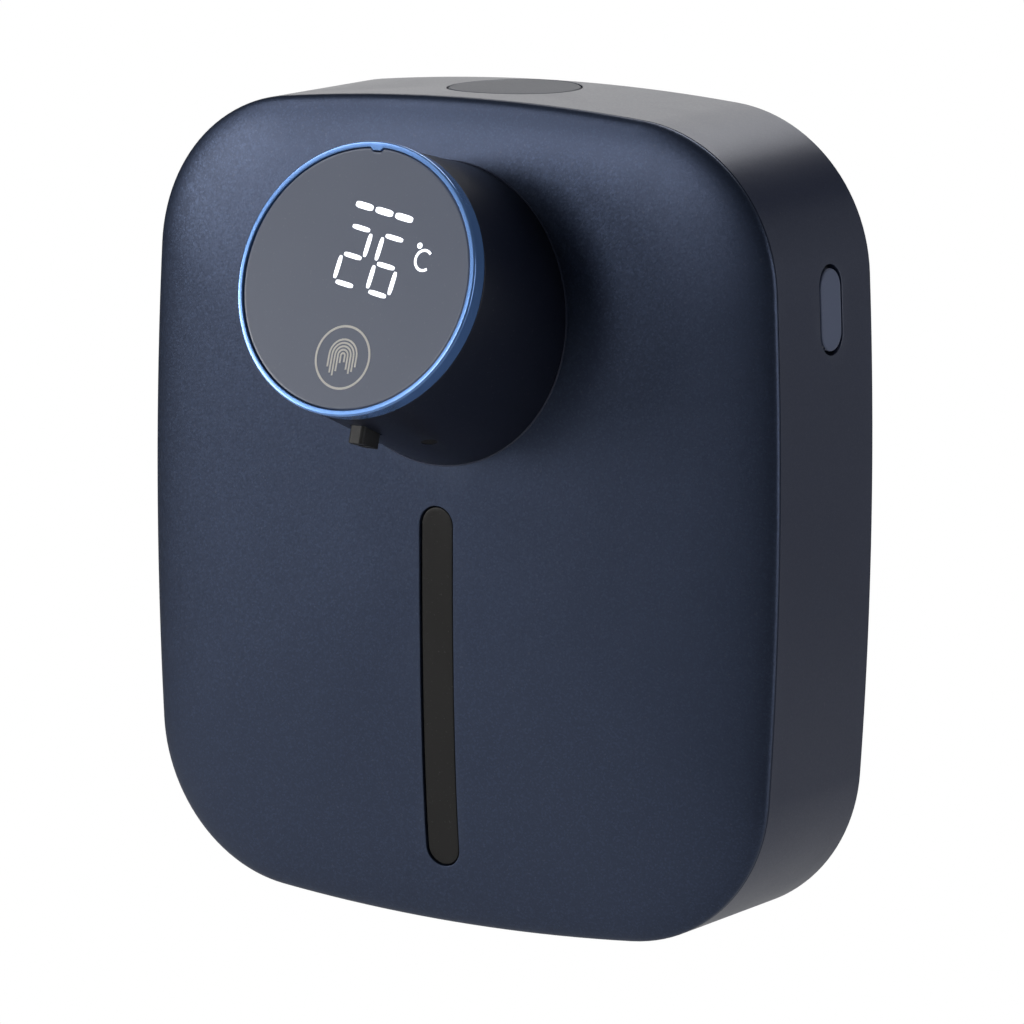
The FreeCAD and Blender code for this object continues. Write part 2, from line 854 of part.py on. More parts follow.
def usb_flap():
    flap = side_prism(usb_wire(0, 0), half_width - flap_back_inset, half_width + long_run, usb_y)
    knuckle = rod_y(hinge_x, hinge_z, knuckle_radius, usb_y - knuckle_half, usb_y + knuckle_half)
    flap = flap.common(band_solid()).fuse(knuckle)
    bore = hinge_pin_radius + running_gap
    return flap.cut(rod_y(hinge_x, hinge_z, bore, usb_y - long_run, usb_y + long_run))


def flap_pin():
    return rod_y(hinge_x, hinge_z, hinge_pin_radius, usb_y - pin_half, usb_y + pin_half)


def socket_wire(inset):
    half = socket_height / 2 - inset
    return pill_wire(socket_z - half, socket_z + half, socket_width / 2 - inset)


def usb_socket():
    mouth = pocket_back - running_gap
    deep = mouth - socket_length
    metal = side_prism(socket_wire(0), deep, mouth, usb_y)
    metal = metal.cut(side_prism(socket_wire(socket_wall), deep + socket_floor, mouth + short_run, usb_y))
    tongue = box(deep + tongue_root, mouth - tongue_setback, usb_y - tongue_thickness / 2,
                 usb_y + tongue_thickness / 2, socket_z - tongue_width / 2, socket_z + tongue_width / 2)
    return metal.fuse(tongue)


def on_board(front, left, low, chip):
    """A chip given as x, z, width, height and thickness, measured from a board's lower left corner."""
    x, z, width, height, thickness = chip
    return box(left + x, left + x + width, front - thickness, front, low + z, low + z + height)


def charge_board():
    low, high = [tank_top + rise for rise in charge_board_rise]
    board = box(charge_board_left, charge_board_right, charge_board_front, charge_board_back, low, high)
    for x, z in charge_post_places():
        board = board.cut(rod_y(x, z, screw_radius + part_gap, charge_board_front, charge_board_back))
    x, z, radius, height = charge_coil
    coil = rod_y(charge_board_left + x, low + z, radius, charge_board_front - height, charge_board_front)
    return board, on_board(charge_board_front, charge_board_left, low, charge_chip), coil


def main_board():
    low, high = [tank_top + rise for rise in main_board_rise]
    left, right = main_board_x
    front = main_board_back - board_thickness
    board = box(left, right, front, main_board_back, low, high)
    for x, z in main_post_places():
        board = board.cut(rod_y(x, z, screw_radius + part_gap, front, main_board_back))
    x, z, radius, height = main_coil
    coil = rod_y(left + x, low + z, radius, front - height, front)
    return [board, coil] + [on_board(front, left, low, chip) for chip in main_chips]


def board_screws():
    screws = [screw(x, z, main_board_back - board_thickness, board_screw_length)
              for x, z in main_post_places()]
    return screws + [screw(x, z, charge_board_front, board_screw_length) for x, z in charge_post_places()]


save("usb_flap", usb_flap())
save("flap_pin", flap_pin())
save("usb_socket", usb_socket())
save("charge_board", *charge_board())
save("main_board", *main_board())
save("board_screws", *board_screws())


# ---- cell and its tray ----

def cell_frame(margin):
    """Left, right, low and high sides of the cell, moved outwards by margin."""
    low = tank_top + cell_rise
    return cell_x - margin, cell_x + cell_width + margin, low - margin, low + cell_height + margin


def cell_pack():
    side = rounded_wire(*cell_frame(0), cell_corner, cell_corner)
    cell = prism_y(side, cell_back - cell_thickness, cell_back)
    rims = [edge for edge in cell.Edges if edge.BoundBox.YLength < snug_gap and edge.Length > 2 * cell_corner]
    return cell.makeFillet(cell_edge, rims)


def cell_tray():
    """A shallow tray round the back of the cell, on three legs from the rear cover."""
    left, right, low, high = cell_frame(cradle_rim)
    tray = box(left, right, cell_back - cradle_lip, cell_back + cradle_plate, low, high)
    left, right, low, high = cell_frame(part_gap)
    tray = tray.cut(box(left, right, cell_back - cradle_lip - short_run, cell_back, low, high))
    leg_front = cell_back + cradle_plate / 2
    for x, rise in cradle_legs:
        tray = tray.fuse(rod_y(x, tank_top + rise, cradle_leg_radius, leg_front, rear_inner))
    return tray.removeSplitter()


save("cell_pack", cell_pack())
save("cell_tray", cell_tray())


# ---- pump: motor, housing, two meshing gears ----

def gear(x, phase, bore):
    """A spur gear along Y with straight-flanked teeth, thinned a little for running clearance."""
    shares = ((-tooth_root_share, gear_root), (-tooth_tip_share, gear_tip),
              (tooth_tip_share, gear_tip), (tooth_root_share, gear_root))
    points = []
    for tooth in range(gear_teeth):
        for share, radius in shares:
            angle = (tooth + share) * 2 * math.pi / gear_teeth + phase
            points.append(V(x + radius * math.cos(angle), 0, motor_z + radius * math.sin(angle)))
    front = cavity_front + running_gap
    body = prism_y(Part.makePolygon(points + points[:1]), front, front + gear_width)
    return body.cut(rod_y(x, motor_z, bore, pump_front, pump_back))


def pump_screw_places():
    for x in (pump_left + pump_screw_margin, pump_right - pump_screw_margin):
        for z in (pump_low + pump_screw_margin, pump_high - pump_screw_margin):
            yield x, z


def pump_body():
    body = box(pump_left, pump_right, pump_front, cavity_back, pump_low, pump_high)
    for x in (motor_x, driven_x):
        body = body.cut(rod_y(x, motor_z, gear_room, cavity_front, cavity_back + short_run))
    low_end = pump_low - nipple_length
    high_end = pump_high + nipple_length
    for z0, z1 in ((low_end, pump_low), (pump_high, high_end)):
        body = body.fuse(rod_z(intake_x, intake_y, nipple_radius, z0, z1))
    for z0, z1 in ((low_end - short_run, motor_z - port_half), (motor_z + port_half, high_end + short_run)):
        body = body.cut(rod_z(intake_x, intake_y, nipple_bore, z0, z1))
    for x, z in pump_screw_places():
        body = body.cut(rod_y(x, z, pump_screw_radius + snug_gap, cavity_back - pump_screw_depth - part_gap,
                              cavity_back))
    body = body.cut(rod_y(motor_x, motor_z, shaft_radius + running_gap, pump_front, cavity_front + short_run))
    return body.cut(rod_y(driven_x, motor_z, shaft_radius + snug_gap, pump_front + axle_skin,
                          cavity_front + short_run))


def pump_cover():
    cover = box(pump_left, pump_right, cavity_back, pump_back, pump_low, pump_high)
    for x, gap in ((motor_x, running_gap), (driven_x, snug_gap)):
        cover = cover.cut(rod_y(x, motor_z, shaft_radius + gap, cavity_back, pump_back - axle_skin))
    for x, z in pump_screw_places():
        cover = cover.cut(rod_y(x, z, pump_screw_radius + part_gap, cavity_back, pump_back))
        cover = cover.cut(rod_y(x, z, pump_screw_head_radius + part_gap, pump_back - pump_screw_head_height,
                                pump_back))
    return cover


def pump_screws():
    screws = []
    seat = pump_back - pump_screw_head_height
    for x, z in pump_screw_places():
        slot = box(x - pump_slot_half_length, x + pump_slot_half_length, pump_back - pump_slot_depth,
                   pump_back, z - pump_slot_half_width, z + pump_slot_half_width)
        head = rod_y(x, z, pump_screw_head_radius, seat, pump_back).cut(slot)
        screws.append(head.fuse(rod_y(x, z, pump_screw_radius, cavity_back - pump_screw_depth, seat)))
    return screws


def pump_motor():
    """A round can with two flats, bored for its shaft."""
    back = pump_front - snug_gap
    can = rod_y(motor_x, motor_z, motor_radius, pump_front - motor_length, back)
    can = can.makeFillet(motor_edge, [edge for edge in can.Edges if edge.BoundBox.YLength < snug_gap])
    can = can.common(box(motor_x - motor_radius, motor_x + motor_radius, pump_front - motor_length, back,
                         motor_z - motor_flat, motor_z + motor_flat))
    return can.cut(rod_y(motor_x, motor_z, shaft_radius + running_gap, shaft_front - part_gap, pump_front))


def motor_shaft():
    return rod_y(motor_x, motor_z, shaft_radius, shaft_front, shaft_back)


def idler_axle():
    return rod_y(driven_x, motor_z, shaft_radius, pump_front + axle_skin + axle_end_gap, shaft_back)


save("pump_body", pump_body())
save("pump_cover", pump_cover())
save("pump_screws", *pump_screws())
save("pump_motor", pump_motor())
save("motor_shaft", motor_shaft())
save("idler_axle", idler_axle())
save("drive_gear", gear(motor_x, 0, shaft_radius + snug_gap))
save("driven_gear", gear(driven_x, math.pi / gear_teeth, shaft_radius + running_gap))


# ---- spout head ----

def bezel_ring():
    """The ring round the glass, with a small key on its inside at the top."""
    ring = disc(bezel_radius, -bezel_length + bezel_seam, 0)
    ring = ring.makeFillet(bezel_edge, [edge for edge in ring.Edges if edge.BoundBox.ZMin > -snug_gap])
    ring = ring.cut(disc(bezel_inner_radius, -bezel_length, short_run))
    nub = box(-nub_width / 2, nub_width / 2, bezel_inner_radius - nub_height, bezel_inner_radius + nub_root,
              -nub_back, -nub_front)
    return ring.fuse(nub).removeSplitter()


def display_glass():
    glass = disc(bezel_inner_radius - glass_gap, glass_back, -glass_inset)
    half = nub_width / 2 + glass_gap
    return glass.cut(box(-half, half, bezel_inner_radius - nub_height - glass_gap, bezel_inner_radius,
                         glass_back - short_run, short_run))


def display_module():
    """Light guide behind the glass, with a shallow seat for the touch film."""
    seat = disc(touch_radius + touch_seat_gap, glass_back - touch_thickness - snug_gap, 0, 0, -touch_drop)
    return disc(module_radius, module_back, glass_back).cut(seat)


def touch_film():
    return disc(touch_radius, glass_back - touch_thickness, glass_back, 0, -touch_drop)


def display_board():
    board = disc(module_radius, board_back, module_back)
    return board.cut(box(-notch_half_width, notch_half_width, -bezel_radius, -notch_top,
                         board_back - short_run, module_back + short_run))


def barrel():
    """The flared tube with its seat for the display, cut off inside the front cover, and its four ears."""
    body = barrel_cone(bezel_length, barrel_length, 0)
    body = body.cut(barrel_cone(bezel_length - short_run, barrel_length + short_run, -barrel_wall))
    ledge_back = board_back - ledge_thickness
    collar = disc(bezel_inner_radius - neck_fit_gap, ledge_back, glass_back - running_gap)
    collar = collar.cut(disc(seat_radius, board_back, 0))
    collar = collar.cut(disc(seat_radius - ledge_width, ledge_back - short_run, 0))
    room = box(-half_width, half_width, -body_height, ear_back, -half_height, body_height)
    block = in_head(body.fuse(collar)).common(room)
    hollow = in_head(barrel_cone(bezel_length, barrel_length + 2 * long_run, -barrel_wall / 2))
    for x, z in ear_places():
        web = Part.makeBox(ear_web, ear_thickness, 2 * ear_radius, V(-ear_web, ear_front, -ear_radius))
        web.rotate(V(0, 0, 0), V(0, 1, 0), -math.degrees(math.atan2(z - base_height, x)))
        web.translate(V(x, 0, z))
        block = block.fuse(rod_y(x, z, ear_radius, ear_front, ear_back).fuse(web).cut(hollow))
        block = block.cut(rod_y(x, z, screw_radius + part_gap, ear_front, ear_back))
    return block


def head_barrel():
    half_slot = nozzle_width / 2 + part_gap
    half_deep = nozzle_depth / 2 + part_gap
    slot = box(-half_slot, half_slot, -nozzle_reach, -flange_inner, -nozzle_centre - half_deep,
               -nozzle_centre + half_deep)
    body = barrel().cut(in_head(slot))
    for lens in sensor_cylinders(sensor_radius + snug_gap):
        body = body.cut(lens)
    return body.removeSplitter()


def sensor_cylinders(radius):
    """Short rods that point out of the barrel's underside, one each side of the middle."""
    turn = math.radians(sensor_angle)
    for side in (-1, 1):
        direction = V(side * math.sin(turn), -math.cos(turn), 0)
        start = direction * sensor_inner + V(0, 0, -sensor_setback)
        yield in_head(Part.makeCylinder(radius, 2 * long_run, start, direction))


def sensor_lenses():
    skin = in_head(barrel_cone(bezel_length, barrel_length, -lens_inset))
    return [lens.common(skin) for lens in sensor_cylinders(sensor_radius)]


def sensor_board():
    return in_head(box(-sensor_board_half_width, sensor_board_half_width, -sensor_board_outer,
                       -sensor_board_outer + sensor_board_thickness,
                       -sensor_setback - sensor_board_half_depth, -sensor_setback + sensor_board_half_depth))


def spout_rod(radius, outer, inner):
    """A round of the nozzle between two distances below the barrel's axis."""
    return Part.makeCylinder(radius, outer - inner, V(0, -outer, -nozzle_centre), V(0, 1, 0))


def nozzle():
    """The square spout, its flange inside the barrel, and the foam chamber with the hose nipple."""
    half = nozzle_depth / 2
    spout = box(-nozzle_width / 2, nozzle_width / 2, -nozzle_reach, -(flange_outer + flange_inner) / 2,
                -nozzle_centre - half, -nozzle_centre + half)
    spout = spout.makeFillet(nozzle_edge, [edge for edge in spout.Edges if edge.BoundBox.YLength > half])
    flange = box(-flange_half, flange_half, -flange_outer, -flange_inner, -nozzle_centre - flange_half,
                 -nozzle_centre + flange_half)
    chamber = spout_rod(chamber_radius, chamber_outer, chamber_inner)
    nipple = spout_rod(nipple_radius, chamber_inner + foam_gap, nozzle_nipple_end)
    body = spout.fuse(flange).fuse(chamber).fuse(nipple)
    body = body.cut(spout_rod(nozzle_bore, nozzle_reach, nozzle_nipple_end))
    room = spout_rod(chamber_bore, chamber_outer - chamber_wall, chamber_inner + chamber_wall)
    return in_head(body.cut(room))


def foam_mesh():
    outer = chamber_outer - chamber_wall - foam_gap
    return in_head(spout_rod(chamber_bore - snug_gap, outer, outer - foam_thickness))


def outlet_hose():
    """From the nozzle's nipple up past the riser and over to the pump's outlet."""
    start = head_frame.multVec(V(0, -hose_start, -nozzle_centre))
    turn = head_frame.multVec(V(0, -hose_turn, -nozzle_centre))
    (x1, y1, z1), (x2, z2), z3 = hose_route
    lane = riser_front - hose_lane_gap - hose_radius
    points = [start, turn, V(x1, lane - y1, riser_top - z1), V(x2, lane, riser_top + z2),
              V(intake_x, lane, riser_top + z3), V(intake_x, intake_y, riser_top + z3),
              V(intake_x, intake_y, pump_high + part_gap)]
    return hose(points, hose_bend, hose_radius, hose_bore)


save("bezel_ring", in_head(bezel_ring()))
save("display_glass", in_head(display_glass()))
save("display_module", in_head(display_module()))
save("touch_film", in_head(touch_film()))
save("display_board", in_head(display_board()))
save("head_barrel", head_barrel())
save("sensor_lenses", *sensor_lenses())
save("sensor_board", sensor_board())
save("nozzle", nozzle())
save("foam_mesh", foam_mesh())
save("outlet_hose", outlet_hose())
save("head_screws", *[screw(x, z, ear_back, -ear_screw_length) for x, z in ear_places()])
case_screw_end = pillar_joint - case_screw_reach
save("case_screws", *[screw(x, z, case_screw_seat, case_screw_end - case_screw_seat)
                      for x, z in pillar_places()])
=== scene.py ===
import json
import math

import bmesh
import bpy
from mathutils import Matrix, Vector


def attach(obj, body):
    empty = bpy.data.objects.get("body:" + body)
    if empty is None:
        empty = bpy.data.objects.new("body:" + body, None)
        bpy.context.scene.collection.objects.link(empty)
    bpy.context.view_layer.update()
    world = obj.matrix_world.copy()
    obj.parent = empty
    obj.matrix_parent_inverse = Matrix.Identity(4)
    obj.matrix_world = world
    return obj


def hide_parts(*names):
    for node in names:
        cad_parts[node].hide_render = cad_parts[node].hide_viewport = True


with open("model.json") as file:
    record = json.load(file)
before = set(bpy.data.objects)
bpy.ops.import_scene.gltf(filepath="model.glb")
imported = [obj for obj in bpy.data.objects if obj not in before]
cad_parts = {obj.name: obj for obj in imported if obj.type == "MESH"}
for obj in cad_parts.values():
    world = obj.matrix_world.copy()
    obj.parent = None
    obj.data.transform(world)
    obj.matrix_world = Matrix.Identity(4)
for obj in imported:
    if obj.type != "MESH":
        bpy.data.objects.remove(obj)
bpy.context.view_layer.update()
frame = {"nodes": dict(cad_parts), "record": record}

# Wall mounted touch-free soap dispenser. X is right, -Y is the front, Z is up.
# Sizes in the dictionaries are millimetres; meshes are made in metres.

mm = 0.001
nodes = frame["nodes"]
scene = bpy.context.scene
print("frame loaded with", len(nodes), "nodes")


# node tree helpers

def addNode(tree, kind, x=0, y=0, **values):
    node = tree.nodes.new(kind)
    node.location = (x, y)
    for key, value in values.items():
        setattr(node, key, value)
    return node


def setInputs(node, **values):
    for key, value in values.items():
        node.inputs[key.replace("_", " ")].default_value = value
    return node


def connect(tree, source, target):
    tree.links.new(source, target)


def addSocket(tree, name, direction, kind, default=None):
    socket = tree.interface.new_socket(name=name, in_out=direction, socket_type=kind)
    if default is not None:
        socket.default_value = default
    return socket


def mathNode(tree, operation, first, second=None, x=0, y=0, clamp=False):
    node = addNode(tree, "ShaderNodeMath", x, y, operation=operation, use_clamp=clamp)
    for slot, value in enumerate((first, second)):
        if value is None:
            continue
        if isinstance(value, (int, float)):
            node.inputs[slot].default_value = value
        else:
            connect(tree, value, node.inputs[slot])
    return node.outputs[0]


# shared shader groups

def grainGroup():
    # fine paint or mould grain: a slow tone drift and a height for bumps
    tree = bpy.data.node_groups.new("fineGrain", "ShaderNodeTree")
    addSocket(tree, "Scale", "INPUT", "NodeSocketFloat", 900.0)
    addSocket(tree, "Drift Scale", "INPUT", "NodeSocketFloat", 18.0)
    addSocket(tree, "Tone", "OUTPUT", "NodeSocketFloat")
    addSocket(tree, "Grain", "OUTPUT", "NodeSocketFloat")
    addSocket(tree, "Height", "OUTPUT", "NodeSocketFloat")
    entry = addNode(tree, "NodeGroupInput", -800)
    leave = addNode(tree, "NodeGroupOutput", 500)
    place = addNode(tree, "ShaderNodeTexCoord", -800, -200)
    fine = setInputs(addNode(tree, "ShaderNodeTexNoise", -400), Detail=3.0, Roughness=0.6)
    slow = setInputs(addNode(tree, "ShaderNodeTexNoise", -400, -300), Detail=4.0, Roughness=0.5)
    for noise, scale in ((fine, "Scale"), (slow, "Drift Scale")):
        connect(tree, place.outputs["Object"], noise.inputs["Vector"])
        connect(tree, entry.outputs[scale], noise.inputs["Scale"])
    mixed = mathNode(tree, "MULTIPLY_ADD", fine.outputs["Fac"], 0.7, 0, -100)
    connect(tree, slow.outputs["Fac"], mixed.node.inputs[2])
    connect(tree, slow.outputs["Fac"], leave.inputs["Tone"])
    connect(tree, fine.outputs["Fac"], leave.inputs["Grain"])
    connect(tree, mixed, leave.inputs["Height"])
    return tree


def flakeGroup():
    # metal flakes in a clear coat: every cell has its own brightness and a small tilt
    tree = bpy.data.node_groups.new("metalFlake", "ShaderNodeTree")
    addSocket(tree, "Flake Size", "INPUT", "NodeSocketFloat", 3500.0)
    addSocket(tree, "Tilt", "INPUT", "NodeSocketFloat", 0.1)
    addSocket(tree, "Sparkle", "OUTPUT", "NodeSocketFloat")
    addSocket(tree, "Normal", "OUTPUT", "NodeSocketVector")
    entry = addNode(tree, "NodeGroupInput", -1000)
    leave = addNode(tree, "NodeGroupOutput", 700)
    place = addNode(tree, "ShaderNodeTexCoord", -1000, -200)
    cells = addNode(tree, "ShaderNodeTexVoronoi", -700)
    connect(tree, place.outputs["Object"], cells.inputs["Vector"])
    connect(tree, entry.outputs["Flake Size"], cells.inputs["Scale"])
    split = addNode(tree, "ShaderNodeSeparateColor", -450, 100)
    connect(tree, cells.outputs["Color"], split.inputs[0])
    sparkle = mathNode(tree, "POWER", split.outputs[0], 3.0, -200, 200)
    connect(tree, sparkle, leave.inputs["Sparkle"])
    centred = addNode(tree, "ShaderNodeVectorMath", -450, -150, operation="SUBTRACT")
    centred.inputs[1].default_value = (0.5, 0.5, 0.5)
    connect(tree, cells.outputs["Color"], centred.inputs[0])
    tilted = addNode(tree, "ShaderNodeVectorMath", -200, -150, operation="SCALE")
    connect(tree, centred.outputs[0], tilted.inputs[0])
    connect(tree, entry.outputs["Tilt"], tilted.inputs["Scale"])
    surface = addNode(tree, "ShaderNodeNewGeometry", -450, -400)
    total = addNode(tree, "ShaderNodeVectorMath", 50, -200, operation="ADD")
    connect(tree, surface.outputs["Normal"], total.inputs[0])
    connect(tree, tilted.outputs[0], total.inputs[1])
    unit = addNode(tree, "ShaderNodeVectorMath", 300, -200, operation="NORMALIZE")
    connect(tree, total.outputs[0], unit.inputs[0])
    connect(tree, unit.outputs[0], leave.inputs["Normal"])
    return tree


def edgeWearAndHighlightGroup():
    # rubbed edges and a painted edge highlight: the edge attribute broken up by noise
    tree = bpy.data.node_groups.new("edgeWearAndHighlight", "ShaderNodeTree")
    addSocket(tree, "Amount", "INPUT", "NodeSocketFloat", 0.5)
    addSocket(tree, "Mask", "OUTPUT", "NodeSocketFloat")
    entry = addNode(tree, "NodeGroupInput", -800)
    leave = addNode(tree, "NodeGroupOutput", 500)
    edge = addNode(tree, "ShaderNodeAttribute", -800, -200, attribute_name="wearAndHighlight")
    place = addNode(tree, "ShaderNodeTexCoord", -800, -400)
    patchy = setInputs(addNode(tree, "ShaderNodeTexNoise", -550, -400), Scale=260.0, Detail=3.0)
    connect(tree, place.outputs["Object"], patchy.inputs["Vector"])
    broken = mathNode(tree, "MULTIPLY", edge.outputs["Fac"], patchy.outputs["Fac"], -250, -200)
    scaled = mathNode(tree, "MULTIPLY", broken, entry.outputs["Amount"], 0, -100, clamp=True)
    connect(tree, scaled, leave.inputs["Mask"])
    return tree


def smudgeGroup():
    # handling marks and a little dust on smooth faces
    tree = bpy.data.node_groups.new("smudges", "ShaderNodeTree")
    addSocket(tree, "Scale", "INPUT", "NodeSocketFloat", 60.0)
    addSocket(tree, "Smudge", "OUTPUT", "NodeSocketFloat")
    addSocket(tree, "Dust", "OUTPUT", "NodeSocketFloat")
    entry = addNode(tree, "NodeGroupInput", -800)
    leave = addNode(tree, "NodeGroupOutput", 500)
    place = addNode(tree, "ShaderNodeTexCoord", -800, -200)
    wide = setInputs(addNode(tree, "ShaderNodeTexNoise", -500), Detail=5.0, Distortion=0.6)
    specks = setInputs(addNode(tree, "ShaderNodeTexNoise", -500, -300), Scale=2600.0, Detail=1.0)
    connect(tree, place.outputs["Object"], wide.inputs["Vector"])
    connect(tree, entry.outputs["Scale"], wide.inputs["Scale"])
    connect(tree, place.outputs["Object"], specks.inputs["Vector"])
    soft = setInputs(addNode(tree, "ShaderNodeMapRange", -200), From_Min=0.45, From_Max=0.75)
    connect(tree, wide.outputs["Fac"], soft.inputs["Value"])
    dots = setInputs(addNode(tree, "ShaderNodeMapRange", -200, -300), From_Min=0.68, From_Max=0.78)
    connect(tree, specks.outputs["Fac"], dots.inputs["Value"])
    connect(tree, soft.outputs["Result"], leave.inputs["Smudge"])
    connect(tree, dots.outputs["Result"], leave.inputs["Dust"])
    return tree


grain = grainGroup()
flake = flakeGroup()
wearAndHighlight = edgeWearAndHighlightGroup()
smudge = smudgeGroup()
print("shader groups ready")


# materials

def useGroup(tree, group, x, y, **values):
    node = addNode(tree, "ShaderNodeGroup", x, y, node_tree=group)
    return setInputs(node, **values)


def mixColour(tree, factor, first, second, x=0, y=0):
    node = addNode(tree, "ShaderNodeMix", x, y, data_type="RGBA")
    for slot, value in ((0, factor), (6, first), (7, second)):
        if isinstance(value, bpy.types.NodeSocket):
            connect(tree, value, node.inputs[slot])
        else:
            node.inputs[slot].default_value = value if slot == 0 else (*value, 1.0)
    return node.outputs[2]


def rangeOf(tree, value, low, high, x=0, y=0):
    node = setInputs(addNode(tree, "ShaderNodeMapRange", x, y), From_Min=0.2, From_Max=0.8)
    node.inputs["To Min"].default_value = low
    node.inputs["To Max"].default_value = high
    connect(tree, value, node.inputs["Value"])
    return node.outputs["Result"]


def finish(name, look):
    # One general painted or moulded finish; each look says what differs.
    material = bpy.data.materials.new(name)
    material.use_nodes = True
    tree = material.node_tree
    tree.nodes.clear()
    shader = addNode(tree, "ShaderNodeBsdfPrincipled", 600)
    leave = addNode(tree, "ShaderNodeOutputMaterial", 900)
    connect(tree, shader.outputs[0], leave.inputs["Surface"])
    fine = useGroup(tree, grain, -700, 0, Scale=look["grain"], Drift_Scale=look.get("drift", 18.0))
    colour = mixColour(tree, fine.outputs["Tone"], look["colour"], look["second"], -400, 200)
    # edges take a lighter colour: partly wear, partly a painted edge highlight
    wornAndHighlit = useGroup(tree, wearAndHighlight, -700, -300, Amount=look.get("wearAndHighlight", 0.4))
    colour = mixColour(tree, wornAndHighlit.outputs["Mask"], colour, look.get("wornAndHighlightColour", look["second"]), -150, 200)
    marks = useGroup(tree, smudge, -700, -500, Scale=look.get("smudgeScale", 60.0))
    dusty = mathNode(tree, "MULTIPLY", marks.outputs["Dust"], look.get("dust", 0.05), -400, -500)
    colour = mixColour(tree, dusty, colour, (0.6, 0.6, 0.62), 100, 200)
    low, high = look["rough"]
    rough = rangeOf(tree, fine.outputs["Grain"], low, high, -400, -150)
    smeared = mathNode(tree, "MULTIPLY", marks.outputs["Smudge"], look.get("smudge", 0.05), -400, -650)
    rough = mathNode(tree, "ADD", rough, smeared, -150, -200, clamp=True)
    bump = setInputs(addNode(tree, "ShaderNodeBump", 200, -400), Strength=look.get("bump", 0.1),
                     Distance=look.get("depth", 0.00002))
    connect(tree, fine.outputs["Height"], bump.inputs["Height"])
    if "flakes" in look:
        chips = useGroup(tree, flake, -400, 500, Flake_Size=look["flakeSize"], Tilt=look["flakes"])
        bright = mathNode(tree, "MULTIPLY", chips.outputs["Sparkle"], look["sparkle"], -150, 500)
        colour = mixColour(tree, bright, colour, look["flakeColour"], 300, 300)
        connect(tree, chips.outputs["Normal"], bump.inputs["Normal"])
    connect(tree, colour, shader.inputs["Base Color"])
    connect(tree, rough, shader.inputs["Roughness"])
    connect(tree, bump.outputs["Normal"], shader.inputs["Normal"])
    for key, value in look.get("shader", {}).items():
        shader.inputs[key].default_value = value
    if "emission" in look:
        glow = mixColour(tree, fine.outputs["Tone"], look["emission"], look["emissionSecond"], 300, -700)
        connect(tree, glow, shader.inputs["Emission Color"])
    return material
